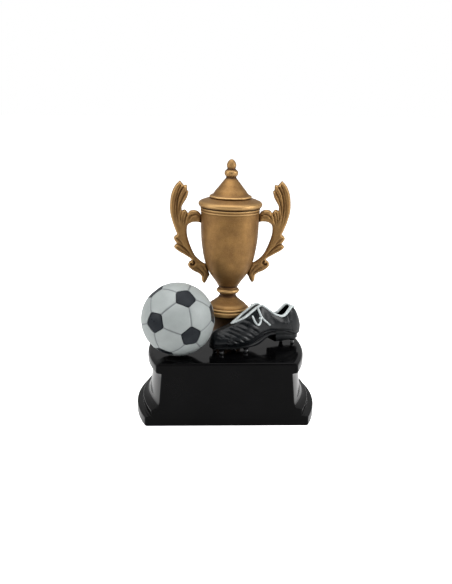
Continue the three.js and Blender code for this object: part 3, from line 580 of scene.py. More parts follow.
lining_paint, tree, look = shader("lining_paint")
weave = noise(tree, 1500, 4, 0.7)
woven = mixed(tree, weave, (0.002, 0.003, 0.0035), (0.009, 0.011, 0.012))
tree.links.new(woven, look.inputs["Base Color"])
tree.links.new(bump(tree, weave, 0.6, 0.0002), look.inputs["Normal"])
look.inputs["Roughness"].default_value = 0.7
insole = frame["nodes"]["boot_insole"]
insole.data.materials.clear()
insole.data.materials.append(lining_paint)
boot_tongue.data.materials.append(lining_paint)


# ---- boot sole and studs ----
# The outsole is one casting: a level forefoot, a raised arch and a heel block, with a lip all round
# where it meets the upper. Six round studs stand under it, each with a bright metal tip.
HEEL_FRONT = 31
WAIST_FROM = 17
WAIST_TO = 28
SOLE_END = 46.5
stud_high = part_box("boot_stud_5")[1]
SOLE_UNDER = (stud_high[2] - PLINTH_TOP) / MM + 0.3


def underside(x, sole_line):
    """Height of the outsole's underside: level, then easing up to 2 mm under the sole line in the
    arch, and level again from the front of the heel block."""
    arch = SOLE_UNDER + (sole_line - 2 - SOLE_UNDER) * ease(x, WAIST_FROM, WAIST_TO)
    return np.where(x > HEEL_FRONT, SOLE_UNDER, arch)


sole_x = np.unique(np.concatenate([-4.2 + 6 * np.linspace(0, 1, 16) ** 1.6, np.linspace(1.8, 30.9, 70),
                                   [HEEL_FRONT - 0.02, HEEL_FRONT + 0.02, HEEL_FRONT + 0.3],
                                   np.linspace(31.6, 43.9, 28),
                                   SOLE_END - 2.6 * np.linspace(1, 0, 14) ** 1.6]))
sole_middle, sole_half, sole_base, _, _ = station(sole_x)
sole_low = underside(sole_x, sole_base)[:, None]
sole_high = (sole_base - 0.12)[:, None]
edge_up = np.array([0, 0, 0.06, 0.2, 0.42, 0.55, 0.62, 0.7, 0.8, 0.92, 0.99, 1, 1, 1])
edge_out = np.array([0.0, 0.78, 0.93, 0.985, 0.99, 0.985, 0.955, 0.955, 0.985, 1.0, 0.985, 0.95, 0.6, 0.0])
heel_round = np.sqrt(1 - np.clip((sole_x - 42.5) / (SOLE_END - 42.4), 0, 1) ** 2)
sole_wide = ((sole_half * 0.84 + 0.55) * heel_round)[:, None]
half_y = sole_wide * edge_out
half_z = sole_low + (sole_high - sole_low) * edge_up
sole_y = sole_middle[:, None] + np.hstack([half_y, -half_y[:, -2:0:-1]])
sole_z = np.hstack([half_z, half_z[:, -2:0:-1]])
sole_ring = np.stack([np.repeat(sole_x[:, None], sole_y.shape[1], 1), sole_y, sole_z], -1)
boot_sole = new_piece("boot_outsole", [grid_shell(boot_place(sole_ring), start_pole=True, end_pole=True)],
                      "award", ["boot_sole"])
sole_rubber, tree, look = shader("sole_rubber")
dust = ramp(tree, noise(tree, 300, 4, 0.6), [(0.45, 0.0), (0.8, 1.0)])
dusty = mixed(tree, dust, (0.0025, 0.0032, 0.004), (0.008, 0.0098, 0.011))
tree.links.new(dusty, look.inputs["Base Color"])
tree.links.new(ramp(tree, noise(tree, 400, 3), [(0.3, 0.3), (0.7, 0.5)]), look.inputs["Roughness"])
tree.links.new(bump(tree, noise(tree, 700, 3), 0.4, 0.0002), look.inputs["Normal"])
look.inputs["Specular IOR Level"].default_value = 0.15
boot_sole.data.materials.append(sole_rubber)


def turned(profile, steps=48):
    """Grid of a profile of (radius, height) carried round the vertical axis through the origin."""
    angle = np.linspace(0, 2 * np.pi, steps, endpoint=False)[None]
    r, h = np.asarray(profile, float)[:, :1], np.asarray(profile, float)[:, 1:]
    return np.stack([r * np.cos(angle), r * np.sin(angle), h + 0 * angle], -1)


silver_paint, tree, look = shader("stud_silver")
tarnish = ramp(tree, noise(tree, 900, 4, 0.6), [(0.35, 0.0), (0.8, 1.0)])
tree.links.new(mixed(tree, tarnish, (0.62, 0.62, 0.63), (0.25, 0.25, 0.26)), look.inputs["Base Color"])
tree.links.new(ramp(tree, tarnish, [(0.0, 0.28), (1.0, 0.5)]), look.inputs["Roughness"])
tree.links.new(bump(tree, noise(tree, 1500, 3), 0.4, 0.0001), look.inputs["Normal"])
look.inputs["Metallic"].default_value = 0.9
STUD_FLARE = [[0.78, 0], [0.81, 0.05], [0.84, 0.4], [0.9, 0.75], [0.99, 0.93], [1, 1]]
TIP_DOME = [[0.55, 0], [0.68, 0.03], [0.78, 0.16], [0.86, 0.45], [0.97, 0.85], [1, 0.96], [0.96, 1]]


def stud_piece(name, node, profile, paint):
    """A turned piece that fills its node's box: profile holds shares of the root radius and height."""
    low, high = (np.array(corner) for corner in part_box(node))
    root = (high[0] - low[0]) / 2
    grid = turned(np.array(profile) * (root, high[2] - low[2]) + (0, low[2]))
    grid[..., :2] += ((low + high) / 2)[:2]
    shell = grid_shell(grid, start_pole=True, end_pole=True)
    new_piece(name, [shell], "award", [node]).data.materials.append(paint)


for number in range(1, 7):
    stud_piece(f"stud_post_{number}", f"boot_stud_{number}", STUD_FLARE, sole_rubber)
    stud_piece(f"silver_tip_{number}", f"stud_tip_{number}", TIP_DOME, silver_paint)


# ---- boot piping and lace ----
# Raised piping, painted pale grey, edges the laced slot and the collar. The lace is moulded down
# on each side of the slot as a bow: one loop and one loose end, with a small knot where they cross.
PIPE_HALF = 0.85
PIPE_HIGH = 0.5
LACE_HALF = 0.52


def near_wall(points, side, lift):
    """Points given as (along, height) laid on the wall of the upper, on the near side (-1) or the
    far side (1), and lifted off it."""
    x, z = smooth_run(points, 8).T
    mid, half_here, base_here, top_here, top_half_here = station(x)
    t = np.clip((z - base_here) / (top_here - base_here), 0, 1)
    return np.stack([x, mid + side * (wall_width(t, half_here, top_half_here) + lift), z], -1)


def piping_edge(x, width, lift):
    """A line along the top of the upper, width to each side of its middle."""
    mid, _, _, top_here, _ = station(x)
    return np.stack([x, mid + width, top_here + lift], -1)


slot_x = np.linspace(THROAT_START + 0.8, THROAT_END + 1.6, 50)
slot_half = THROAT_HALF * np.minimum(1, (slot_x - THROAT_START) / 6) + 0.45
slot_near = piping_edge(slot_x, -slot_half, 0.3)
slot_far = piping_edge(slot_x, slot_half, 0.3)
slot_tip = piping_edge(np.array([THROAT_START - 0.3]), 0, 0.2)
throat_line = smooth_run(np.vstack([slot_near[::-3], slot_tip, slot_far[1::3]]), 6)
collar_x = np.linspace(THROAT_END + 1.2, OPENING_END + 0.35, 48)
collar_half = np.interp(collar_x, along[:, 0], top_half[:, 0]) - SHELL / 2
# On the near side the piping stands 0.25 mm further out, and rises 0.35 mm towards the throat
collar_lift = 0.32 + 0.35 * (1 - ease(collar_x, 26, 31))
collar_near = piping_edge(collar_x, -collar_half - 0.25, collar_lift)
collar_far = piping_edge(collar_x, collar_half, 0.32)
collar_line = smooth_run(np.vstack([collar_near[::2], collar_far[::-2]]), 4)
STRAND = [[20.2, 23.2], [20.8, 20.6], [21.6, 18], [23.2, 16], [25.3, 14.1], [27.2, 12.5]]
LOOP = [[16.8, 18.8], [17.4, 16.4], [18.2, 14.7], [19.3, 14], [20.5, 14.8], [21.5, 17]]
KNOT = [[20, 17.6], [20.9, 17.2], [22, 17.5]]


def soft_ends(count):
    """Taper at both ends of a line, from a rounded tip to full size in a few steps."""
    end = np.minimum(np.arange(count), np.arange(count)[::-1]) / 3
    return np.sqrt(np.clip(1 - (1 - np.minimum(end, 1)) ** 2, 0.04, 1))


def pipe_shell(line, half_width, half_height):
    """A flat-bottomed painted band: an oval tube along a line of the boot."""
    taper = soft_ends(len(line))
    return swept_shell(boot_place(line), half_width * MM * taper, half_height * MM * taper, 0.85, 16)


throat_shell = pipe_shell(throat_line, PIPE_HALF, PIPE_HIGH)
throat_pipe = new_piece("throat_piping", [throat_shell], "award", ["boot_throat_trim"])
collar_shell = pipe_shell(collar_line, PIPE_HALF + 0.12, PIPE_HIGH + 0.1)
collar_pipe = new_piece("collar_piping", [collar_shell], "award", ["boot_collar_trim"])
lace_shells = []
for side in (-1, 1):
    lace_shells.append(pipe_shell(near_wall(STRAND, side, 0.28), LACE_HALF, LACE_HALF))
    lace_shells.append(pipe_shell(near_wall(LOOP, side, 0.18), LACE_HALF, LACE_HALF * 0.9))
    lace_shells.append(pipe_shell(near_wall(KNOT, side, 0.62), LACE_HALF, LACE_HALF))
bow = new_piece("lace_bow", lace_shells, "award", ["boot_lace"])
trim_paint, tree, look = shader("trim_paint")
grime = ramp(tree, noise(tree, 500, 4, 0.65), [(0.42, 0.0), (0.75, 1.0)])
tree.links.new(mixed(tree, grime, (0.50, 0.545, 0.545), (0.30, 0.33, 0.335)), look.inputs["Base Color"])
tree.links.new(bump(tree, noise(tree, 900, 3), 0.5, 0.0002), look.inputs["Normal"])
look.inputs["Roughness"].default_value = 0.5
for piece in (throat_pipe, collar_pipe, bow):
    piece.data.materials.append(trim_paint)


# ---- drum under the cup ----
# A short turned resin drum that lifts the cup off the plinth. It is the one part of the cup that
# is left in dark brown wash, and a tie rod runs up through it.
ROD_HOLE = 1.7
nut_low, nut_high = (np.array(corner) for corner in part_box("tie_nut_bottom"))
cup_up = np.array(frame["record"]["behaviour"]["joints"][0]["axis"], float)
cup_up /= np.linalg.norm(cup_up)
cup_side = np.cross((0, 1.0, 0), cup_up)
cup_back = np.cross(cup_up, cup_side)
nut_middle = (nut_low + nut_high) / 2
cup_origin = nut_middle + cup_up * (PLINTH_TOP - nut_middle[2]) / cup_up[2]


def cup_place(points):
    """From the cup's own millimetres (across, back, up its leaning axis) to metres."""
    points = np.asarray(points, float)
    return cup_origin + points @ np.array([cup_side, cup_back, cup_up]) * MM


def wash_and_shade_of(profile, reach=0.7):
    """How much dark wash and painted shade each point of a profile holds, above 0, or how rubbed and lit
    by a painted highlight its edge is, below 0:
    its distance inside the profile blurred over reach, measured square to it, as a share of reach."""
    step = 0.05
    place = np.concatenate([[0], np.cumsum(np.linalg.norm(np.diff(profile, axis=0), axis=1))])
    fine = np.arange(0, place[-1] + step, step)
    curve = np.stack([np.interp(fine, place, profile[:, i]) for i in (0, 1)], -1)
    count = int(3 * reach / step)
    kernel = np.exp(-(np.arange(-count, count + 1) * step / reach) ** 2)
    padded = np.pad(curve, ((count, count), (0, 0)), "reflect", reflect_type="odd")
    blurred = np.stack([np.convolve(padded[:, i], kernel / kernel.sum(), "valid") for i in (0, 1)], -1)
    slope = np.gradient(curve, axis=0)
    slope /= np.maximum(np.linalg.norm(slope, axis=1), 1e-9)[:, None]
    normal = np.stack([slope[:, 1], -slope[:, 0]], -1)
    return np.interp(place, fine, ((blurred - curve) * normal).sum(1) / reach)


def cup_piece(name, outer, closing, node, joints=(), body="award", poles=(False, False),
              steps=144, opening=()):
    """A turned piece of the cup: plain opening points, smooth outer runs, then plain closing points
    back to the start. joints are heights where two pieces meet and dark wash with painted shade collects."""
    outside = joined_runs(outer, 6)
    depth = wash_and_shade_of(outside)
    # Dark wash in the hollows and at the joints, partly painted shade; lighter rubbed edges, partly a
    # painted highlight
    shade_and_wash = np.clip(depth * 3.5, 0, 0.8)
    for joint in joints:
        shade_and_wash = np.maximum(shade_and_wash, ditch(outside[:, 1] - joint, 0.55))
    edge = np.clip(-depth * 6, 0, 1) * (1 - shade_and_wash)
    opening, closing = (np.array(points, float).reshape(-1, 2) for points in (opening, closing))
    profile = np.vstack([opening, outside, closing] + ([] if any(poles) else [outside[:1]]))
    grid = cup_place(turned(profile, steps))
    before, after = len(opening), len(profile) - len(opening) - len(outside)
    # Opening and closing points and the poles take half the dark wash, as painted shade inside and under
    # the piece
    ends = np.full(sum(poles), 0.5)
    shade_and_wash = np.pad(shade_and_wash, (before, after), constant_values=0.5)
    edge = np.pad(edge, (before, after))
    values = {"shade_and_wash": np.append(np.repeat(shade_and_wash, steps), ends),
              "edge": np.append(np.repeat(edge, steps), 0 * ends)}
    shell = grid_shell(grid, start_pole=poles[0], end_pole=poles[1])
    return new_piece(name, [shell], body, [node], values, weld=0.004 * MM)


def painted(name, base, mottle, wash_shade_colour, rubbed_highlight_colour, metallic, roughness):
    """Brushed-on metallic paint: mottled base, dark wash with painted shade in the hollows, rubbed edges
    lightened partly as a painted highlight, fine grain.
    """
    paint, tree, look = shader(name)
    cloudy = ramp(tree, noise(tree, 150, 5, 0.62), [(0.36, 0.0), (0.66, 1.0)])
    grain = noise(tree, 2600, 2, 0.6)
    colour = mixed(tree, cloudy, base, mottle)
    colour = mixed(tree, ramp(tree, grain, [(0.35, 0.0), (0.8, 0.25)]), colour, rubbed_highlight_colour)
    colour = mixed(tree, attribute(tree, "edge"), colour, rubbed_highlight_colour)
    colour = mixed(tree, attribute(tree, "shade_and_wash"), colour, wash_shade_colour)
    tree.links.new(colour, look.inputs["Base Color"])
    dulled = ramp(tree, cloudy, [(0.0, roughness), (1.0, roughness + 0.1)])
    tree.links.new(dulled, look.inputs["Roughness"])
    fine = bump(tree, grain, 0.35, 0.00008)
    tree.links.new(bump(tree, noise(tree, 330, 3), 0.35, 0.0003, fine), look.inputs["Normal"])
    look.inputs["Metallic"].default_value = metallic
    return paint


# Colours: base, mottle, dark wash with painted shade, rubbed edge with painted highlight
bronze = painted("bronze_paint", (0.232, 0.122, 0.037), (0.15, 0.074, 0.022), (0.045, 0.018, 0.006),
                 (0.48, 0.3, 0.125), 0.8, 0.46)
umber = painted("umber_wash_paint", (0.2, 0.108, 0.046), (0.12, 0.063, 0.027), (0.025, 0.012, 0.006),
                (0.26, 0.16, 0.08), 0.3, 0.5)
drum = cup_piece("cup_drum", [[[8.3, 0.3], [8.5, 0.5], [8.45, 1.5], [7.85, 2.1]],
                              [[7.85, 2.1], [7.3, 6], [7.6, 11], [8.3, 13.4], [9, 14.9]]],
                 [[ROD_HOLE, 14.9], [ROD_HOLE, 0.3]], "pedestal", [14.9])
drum.data.materials.append(umber)


# ---- foot and knop of the cup ----
# The foot is a turned resin casting with a rounded lip, a groove, a fine bead and a hollow slope.
# The knop above it is a narrow neck under a rounded ring. Both slide over the tie rod.
foot = cup_piece("cup_foot_casting", [
    [[10, 15.2], [10.9, 15.35], [11.35, 15.9], [11.4, 16.7], [11.3, 17.5], [10.95, 18.05], [10.5, 18.25]],
    [[10.5, 18.25], [10.85, 18.4], [11.15, 18.75], [11.15, 19.25], [10.8, 19.6], [10.3, 19.75]],
    [[10.3, 19.75], [10.1, 20.1], [9.2, 21.2], [7.6, 22.35], [6.2, 23.5], [5.1, 24.4], [4.6, 25.15]]],
    [[ROD_HOLE, 25.15], [ROD_HOLE, 15.2]], "cup_foot", [15.2, 25.3])
knop = cup_piece("cup_knop_ring", [
    [[4.5, 25.2], [4.3, 25.9], [4.4, 26.5], [4.9, 26.95]],
    [[4.9, 26.95], [5.55, 27.3], [5.95, 27.95], [5.95, 28.5], [5.6, 29.1], [5.1, 29.5]],
    [[5.1, 29.5], [4.95, 30], [5.05, 30.75]]],
    [[ROD_HOLE, 30.75], [ROD_HOLE, 25.2]], "cup_knop", [25.6, 26.2, 30.6])


# ---- bowl ----
# The bowl is a hollow turned casting, plain and round-bottomed, with two fine rings under its rim.
BOWL_BASE = 30.8
BOWL_RIM = 71.9
BOWL_RADIUS = 15
BOWL_OUTSIDE = [[0.353, 0], [0.393, 0.027], [0.48, 0.073], [0.6, 0.131], [0.713, 0.2], [0.813, 0.285],
                [0.88, 0.37], [0.927, 0.465], [0.967, 0.564], [0.99, 0.674], [1, 0.783], [1.003, 0.88],
                [1.006, 0.93]]
BOWL_RINGS = [[1.006, 0.93], [1.006, 0.945], [1.017, 0.95], [1.021, 0.957], [1.016, 0.964], [1.004, 0.969]]
BOWL_LIP = [[1.004, 0.969], [1.015, 0.978], [1.026, 0.988], [1.027, 0.997], [1.02, 1]]
BOWL_INSIDE = [[0.94, 1], [0.93, 0.99], [0.927, 0.95], [0.89, 0.905], [0.887, 0.76], [0.873, 0.637],
               [0.833, 0.49], [0.773, 0.38], [0.68, 0.272], [0.56, 0.19], [0.44, 0.137], [0.36, 0.127]]


def bowl_points(shares):
    """From shares of the bowl's radius and height to millimetres."""
    return np.array(shares) * (BOWL_RADIUS, BOWL_RIM - BOWL_BASE) + (0, BOWL_BASE)


bowl_floor = bowl_points([[0, 0.127]])[0, 1]
bowl_outer = [bowl_points(run) for run in (BOWL_OUTSIDE, BOWL_RINGS, BOWL_LIP)]
bowl_inside = np.vstack([smooth_run(bowl_points(BOWL_INSIDE), 4),
                         [[ROD_HOLE, bowl_floor], [ROD_HOLE, BOWL_BASE]]])
bowl = cup_piece("cup_bowl_casting", bowl_outer, bowl_inside, "cup_bowl", [BOWL_BASE])


# ---- handles ----
# Each handle is a flat casting pinned to the bowl: a plume of three flutes that runs down the outer
# side, a scrolled arm, two side leaves, a curled volute and a drop. Both faces carry the carving.
HANDLE_HALF = 2.45
HANDLE_RUNS = [
    # [across from the cup's axis, height above the plinth]
    [[26.2, 85.7], [28.6, 83.1], [30.4, 79], [31.1, 74], [31, 69.6], [30, 65.2], [28.5, 60.9],
     [27.2, 57.8]],
    [[27.2, 57.8], [28.6, 56.6], [28.8, 55.2], [27.4, 53]],
    [[27.4, 53], [28.7, 51.2], [27.1, 49.4], [23.9, 47.5], [20.4, 45.4], [19.3, 44.2]],
    [[19.3, 44.2], [20.6, 43.5], [21.3, 42], [20.6, 40.3], [18.2, 38.5], [15.4, 37.2], [14, 35.8]],
    [[14, 35.8], [13.8, 33.4], [12.6, 32.1], [11.5, 33.1], [10.5, 35.2], [9.7, 36.4]],
    [[9.7, 36.4], [10.5, 39], [11.9, 42.4]],
    [[11.9, 42.4], [14.2, 43.6], [17.4, 46.5], [19.4, 50.1], [21.2, 54.8], [22, 58], [22.1, 60.8],
     [21.6, 62.8], [19.7, 64.1], [17, 64.4], [14.8, 64]],
    [[14.8, 64], [14.8, 68]],
    [[14.8, 68], [16.4, 69.9], [18.6, 70.6], [20.7, 70.2], [21.7, 69]],
    [[21.7, 69], [23.2, 70.7], [25, 70.3]],
    [[25, 70.3], [24.9, 72.4], [23.7, 74.6], [22.4, 76.9], [21.6, 80]],
    [[21.6, 80], [22.4, 80.9]],
    [[22.4, 80.9], [22.6, 83.4], [24.1, 83.3]],
    [[24.1, 83.3], [26.2, 85.7]]]
# Carved lines: depth, width, how much of its start and of its end each line takes to fade, points
CARVING = [
    [0.8, 0.34, 0.03, 0.5, [[25.4, 84.2], [26.9, 80.6], [28.2, 76], [28.6, 71.2], [28.1, 66.6],
                            [27, 62.3]]],
    [1.15, 0.36, 0.03, 0.5, [[24.1, 83], [26.3, 78.9], [27.3, 74.6], [27.4, 70.4], [26.8, 66],
                             [25.9, 61.6]]],
    [1.0, 0.34, 0.03, 0.5, [[22.4, 80.8], [24.5, 77], [25.9, 73.2], [26.3, 69.4], [25.9, 65.6]]],
    [0.7, 0.3, 0.1, 0.4, [[24.7, 70.2], [25.3, 67.4], [25.1, 64.2]]],
    [0.7, 0.3, 0.1, 0.4, [[23.2, 69.8], [24.2, 66.6], [24.2, 62.8]]],
    [0.9, 0.34, 0.05, 0.4, [[21.8, 69], [22.9, 66.2], [23.4, 62.4]]],
    [0.8, 0.42, 0.15, 0.2, [[21, 65.6], [20.3, 67.4], [18.2, 68.4], [16.2, 68], [14.8, 66.8]]],
    [0.45, 0.3, 0.2, 0.3, [[21.6, 67], [20.8, 68.9], [18.9, 69.7], [16.8, 69.4], [14.9, 68.4]]],
    [0.7, 0.32, 0.1, 0.5, [[28.1, 56.2], [26.3, 55.2], [24.4, 53.2], [22.8, 50.6]]],
    [1.1, 0.36, 0.03, 0.5, [[27.4, 53], [24.9, 52.1], [22.4, 50], [19.9, 47.2], [17.8, 44.9]]],
    [0.7, 0.32, 0.1, 0.5, [[27.2, 50.9], [23.9, 49.3], [20.8, 47], [18.6, 44.4]]],
    [1.3, 0.42, 0.1, 0.1, [[19, 44.1], [18, 43.6], [17.9, 42.5], [18.8, 41.9], [19.6, 42.5],
                           [19.3, 43.1]]],
    [0.6, 0.34, 0.3, 0.3, [[18.2, 41.4], [15.6, 39.7], [13.3, 37.5], [12.6, 34.8]]],
    [0.5, 0.32, 0.3, 0.4, [[16.1, 43], [13.6, 40.9], [11.8, 38.3], [11.5, 36]]]]
CARVE_STEP = 0.36


def nearest(points, line):
    """Distance from each point to a line of straight pieces, and the share of the line's length at
    the nearest spot: the piece's own share of the way, held between 0 and 1."""
    a, d = line[:-1], np.diff(line, axis=0)
    share = np.clip(((points[:, None] - a) * d).sum(-1) / (d ** 2).sum(-1), 0, 1)
    gaps = np.linalg.norm(points[:, None] - a - share[..., None] * d, axis=-1)
    best = gaps.argmin(1)
    rows = np.arange(len(points))
    return gaps[rows, best], (best + share[rows, best]) / len(d)


def inside_of(points, ring):
    """Even-odd test: a point is inside if a level line from it crosses the ring an odd number of times."""
    a, b = ring[:-1], ring[1:]
    x, z = points[:, :1], points[:, 1:]
    spans = (a[:, 1] > z) != (b[:, 1] > z)
    rise = np.where(a[:, 1] == b[:, 1], 1, b[:, 1] - a[:, 1])
    return (spans & (x < a[:, 0] + (z - a[:, 1]) / rise * (b[:, 0] - a[:, 0]))).sum(1) % 2 == 1


ring = joined_runs(HANDLE_RUNS, 10)
length = np.concatenate([[0], np.cumsum(np.linalg.norm(np.diff(ring, axis=0), axis=1))])
even = np.linspace(0, length[-1], int(length[-1] / 0.3))
ring = np.stack([np.interp(even, length, ring[:, i]) for i in (0, 1)], -1)
ahead = np.roll(ring[:-1], -1, 0) - np.roll(ring[:-1], 1, 0)
inward_way = np.stack([ahead[:, 1], -ahead[:, 0]], -1) / np.linalg.norm(ahead, axis=1, keepdims=True)
low, high = ring.min(0), ring.max(0)
gx, gz = np.meshgrid(np.arange(low[0], high[0], CARVE_STEP), np.arange(low[1], high[1], CARVE_STEP * 0.87))
gx = gx + (np.arange(len(gx))[:, None] % 2) * CARVE_STEP / 2
field = np.stack([gx.ravel(), gz.ravel()], -1)
field = field[inside_of(field, ring)]
field = field[nearest(field, ring)[0] > 0.34]
for gap in (0.05, 0.16):
    band = ring[:-1] + inward_way * gap
    band = band[inside_of(band, ring)]
    field = np.vstack([field, band[nearest(band, ring)[0] > gap * 0.9]])
rim_count = len(ring) - 1
flat = np.vstack([ring[:-1], field])
loop = [(i, (i + 1) % rim_count) for i in range(rim_count)]
cut = delaunay_2d_cdt([Vector(p) for p in flat.tolist()], loop, [], 1, 1e-5)
flat = np.array([tuple(p) for p in cut[0]])
leaf_faces = np.array(cut[2])
rim_gap, _ = nearest(flat, ring)
rim_gap = np.where(rim_gap < 1e-4, 0, rim_gap)
body_height = HANDLE_HALF * np.sqrt(1 - (1 - np.minimum(rim_gap / 1.5, 1)) ** 2.4)
carved = np.zeros(len(flat))
for depth, width, fade_in, fade_out, line in CARVING:
    gap, share = nearest(flat, smooth_run(line, 8))
    strength = ease(share, -0.02, fade_in) * (1 - ease(share, 1 - fade_out, 1.02))
    carved = np.maximum(carved, depth * strength * np.exp(-(gap / width) ** 1.3))
leaf_height = body_height - np.minimum(carved, body_height * 0.62)
# Painted shade where the handle meets the bowl, and dark wash with painted shade in the carving; the rim
# and the carving's edges are lighter, partly rubbed wear and partly a painted highlight
shade_near_bowl = np.maximum(ditch(flat[:, 0] - 14.8, 0.7) * (flat[:, 1] > 60),
                       ditch(flat[:, 0] - 10.6, 1.0) * (flat[:, 1] < 45))
leaf_shade_and_wash = np.clip(np.maximum(carved * 0.62, shade_near_bowl * 0.7), 0, 0.8)
leaf_rub_and_highlight = ditch(rim_gap - 0.45, 0.45) * 0.7 + 0.35 * ditch(carved - 0.12, 0.1)
leaf_rub_and_highlight = np.clip(leaf_rub_and_highlight - leaf_shade_and_wash, 0, 1)


def handle(name, side, lift, node):
    """A handle on one side (1 right, -1 left), pinned lift millimetres up: the carved height field
    and its mirror image."""
    front = np.stack([side * flat[:, 0], -leaf_height, flat[:, 1] + lift], -1)
    back = front * (1, -1, 1)
    turn = leaf_faces if side > 0 else leaf_faces[:, ::-1]
    shells = [(cup_place(front), turn.tolist()), (cup_place(back), turn[:, ::-1].tolist())]
    values = {"shade_and_wash": np.tile(leaf_shade_and_wash, 2), "edge": np.tile(leaf_rub_and_highlight, 2)}
    return new_piece(name, shells, "award", [node], values, weld=0.004 * MM)


RIGHT_LIFT = 0.6
LEFT_LIFT = -0.4
handles = [handle("leaf_handle_right", 1, RIGHT_LIFT, "handle_right"),
           handle("leaf_handle_left", -1, LEFT_LIFT, "handle_left")]


# ---- lid and finial ----
# The lid lifts off. It is a hollow bell with a bead round its foot and a broad brim, and a register
# ring under the brim drops into the bowl. The finial, two stacked beads, is glued into its top.
LID_BASE = 72.2
LID_TOP = 87.4


def lid_points(points):
    """From radius and height above the brim's underside to the cup's millimetres."""
    return np.array(points, float) + (0, LID_BASE)


lid_outer = [lid_points(run) for run in (
    [[15.4, 0.02], [15.9, 0.35], [16.3, 0.9], [16.5, 1.45], [16.45, 2]],
    [[16.45, 2], [16.2, 2.5], [15.5, 3.05], [13.8, 3.75], [12, 4.35], [10.75, 4.7], [10.35, 4.95]],
    [[10.35, 4.95], [10.7, 5.1], [10.95, 5.45], [10.75, 5.85], [10.3, 6.1]],
    [[10.3, 6.1], [9.85, 6.3], [9.1, 6.8], [8.55, 7.5], [7.65, 8.8], [6.3, 10.4], [5.18, 11.9],
     [3.98, 13.4], [3, 14.6], [2.6, 15.2]])]
lid_inner = [[1.5, LID_TOP], [1.5, 84.5], [0.4, 84.5]]
lid_under = lid_points([[0.4, 10], [2.55, 8.2], [6.3, 5.4], [8.4, 3.7], [12, 2.2], [12.1, -2], [13.4, -2],
                        [13.4, 0]])
lid = cup_piece("cup_lid", lid_outer, lid_inner, "lid", [LID_BASE, LID_TOP], "lid", (True, True),
                opening=lid_under)
finial_outer = [lid_points(np.array(run) + (0, LID_TOP - LID_BASE)) for run in (
    [[2.6, 0], [2.75, 0.6], [3.25, 1.2], [3.5, 2.1], [3.4, 3], [2.9, 3.7], [2.2, 4.25]],
    [[2.2, 4.25], [2.15, 4.7], [2.35, 5.4], [2.45, 6.2], [2.25, 7.2], [1.8, 8.1], [1.2, 8.8], [0.6, 9.19],
     [0.15, 9.29]])]
finial = cup_piece("lid_finial_beads", finial_outer, [], "lid_finial", [LID_TOP, LID_TOP + 4.3], "lid",
                   (True, True), steps=64)
for piece in [foot, knop, bowl, lid, finial] + handles:
    piece.data.materials.append(bronze)


# ---- tie rod, nuts, washer and peg ----
# Zinc-plated steel: a threaded rod holds the plinth, drum, foot, knop and bowl together between a
# nut in the bowl and a washer and nut in the plinth, and a plain peg holds the ball.
zinc, tree, look = shader("zinc_plate")
spangle = noise(tree, 700, 3, 0.6)
tree.links.new(mixed(tree, spangle, (0.42, 0.43, 0.45), (0.62, 0.62, 0.60)), look.inputs["Base Color"])
tree.links.new(ramp(tree, spangle, [(0.3, 0.25), (0.7, 0.45)]), look.inputs["Roughness"])
tree.links.new(bump(tree, noise(tree, 1800, 2), 0.4, 0.0001), look.inputs["Normal"])
look.inputs["Metallic"].default_value = 1.0
for node in ("tie_rod", "tie_nut_top", "tie_nut_bottom", "tie_washer", "ball_peg"):
    frame["nodes"][node].data.materials.clear()
    frame["nodes"][node].data.materials.append(zinc)


# ---- stage: pale floor, soft studio light and the camera ----
# The floor is a pale sheet with a glow that only the camera sees, so the glow adds no light to the
# award from below. The tent round it lights the award dimly in front and brightly behind, and is
# plain white to the camera. Two soft panels stand at the sides, and a wide one hangs overhead.
FLOOR_SHINE = 0.85
floor_mesh = bpy.data.meshes.new("floor")
floor_mesh.from_pydata([(-3, -3, 0), (3, -3, 0), (3, 3, 0), (-3, 3, 0)], [], [(0, 1, 2, 3)])
floor = bpy.data.objects.new("floor", floor_mesh)
bpy.context.scene.collection.objects.link(floor)
floor_paper, tree, look = shader("floor_paper")
look.inputs["Base Color"].default_value = (0.9, 0.9, 0.9, 1)
look.inputs["Roughness"].default_value = 0.9
look.inputs["Emission Color"].default_value = (1, 1, 1, 1)
seen = tree.nodes.new("ShaderNodeLightPath")
shine = tree.nodes.new("ShaderNodeMath")
shine.operation = "MULTIPLY"
shine.inputs[1].default_value = FLOOR_SHINE
tree.links.new(seen.outputs["Is Camera Ray"], shine.inputs[0])
tree.links.new(shine.outputs["Value"], look.inputs["Emission Strength"])
floor_mesh.materials.append(floor_paper)

TENT_FRONT = 0.06
TENT_BACK = 0.46
tent = bpy.data.worlds.new("tent")
tent.use_nodes = True
tree = tent.node_tree
way = tree.nodes.new("ShaderNodeTexCoord")
split = tree.nodes.new("ShaderNodeSeparateXYZ")
fade = tree.nodes.new("ShaderNodeMapRange")
seen = tree.nodes.new("ShaderNodeLightPath")
pick = tree.nodes.new("ShaderNodeMixShader")
plain = tree.nodes.new("ShaderNodeBackground")
fade.inputs["From Min"].default_value = -0.6
fade.inputs["From Max"].default_value = 0.25
fade.inputs["To Min"].default_value = TENT_FRONT
fade.inputs["To Max"].default_value = TENT_BACK
plain.inputs["Color"].default_value = (1, 1, 1, 1)
tree.nodes["Background"].inputs["Color"].default_value = (1, 1, 1, 1)
tree.links.new(way.outputs["Generated"], split.inputs["Vector"])
tree.links.new(split.outputs["Y"], fade.inputs["Value"])
tree.links.new(fade.outputs["Result"], tree.nodes["Background"].inputs["Strength"])
tree.links.new(seen.outputs["Is Camera Ray"], pick.inputs["Fac"])
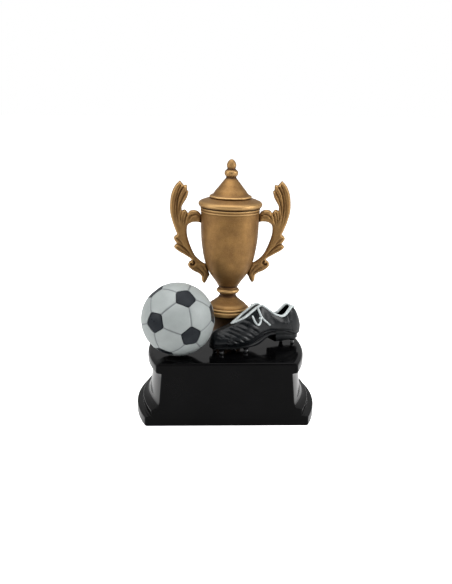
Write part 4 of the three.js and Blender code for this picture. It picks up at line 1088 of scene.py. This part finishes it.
tree.links.new(tree.nodes["Background"].outputs["Background"], pick.inputs[1])
tree.links.new(plain.outputs["Background"], pick.inputs[2])
tree.links.new(pick.outputs["Shader"], tree.nodes["World Output"].inputs["Surface"])
bpy.context.scene.world = tent


def soft_light(name, place, aim, width, height, watts):
    """A rectangular light at place, turned to look at aim, both in metres."""
    lamp = bpy.data.lights.new(name, "AREA")
    lamp.shape = "RECTANGLE"
    lamp.size = width
    lamp.size_y = height
    lamp.energy = watts
    holder = bpy.data.objects.new(name, lamp)
    holder.location = place
    holder.rotation_euler = (Vector(aim) - Vector(place)).to_track_quat("-Z", "Y").to_euler()
    bpy.context.scene.collection.objects.link(holder)


soft_light("left_panel", (-0.6, -0.2, 0.3), (0, 0, 0.07), 0.3, 0.4, 2.0)
soft_light("right_panel", (0.6, -0.2, 0.3), (0, 0, 0.07), 0.3, 0.4, 3.2)
soft_light("overhead", (-0.05, -0.12, 0.7), (0, 0, 0.07), 0.9, 0.9, 7.2)

CAMERA_PLACE = (-0.01496, -0.45345, 0.17366)
CAMERA_DOWN = 0.24204
CAMERA_TURN = 0.03320
CAMERA_ROLL = 0.00824
LENS = 55.48

camera = bpy.data.cameras.new("camera")
camera.sensor_width = 36
camera.lens = LENS
camera.clip_start = 0.01
camera_holder = bpy.data.objects.new("camera", camera)
ahead = Vector((math.sin(CAMERA_TURN) * math.cos(CAMERA_DOWN),
                math.cos(CAMERA_TURN) * math.cos(CAMERA_DOWN), -math.sin(CAMERA_DOWN)))
level = Vector((math.cos(CAMERA_TURN), -math.sin(CAMERA_TURN), 0))
upward = level.cross(ahead)
right = level * math.cos(CAMERA_ROLL) + upward * math.sin(CAMERA_ROLL)
upward = upward * math.cos(CAMERA_ROLL) - level * math.sin(CAMERA_ROLL)
turn = Matrix((right, upward, -ahead)).transposed().to_4x4()
camera_holder.matrix_world = Matrix.Translation(CAMERA_PLACE) @ turn
bpy.context.scene.collection.objects.link(camera_holder)
bpy.context.scene.camera = camera_holder
bpy.context.scene.view_settings.view_transform = "Standard"
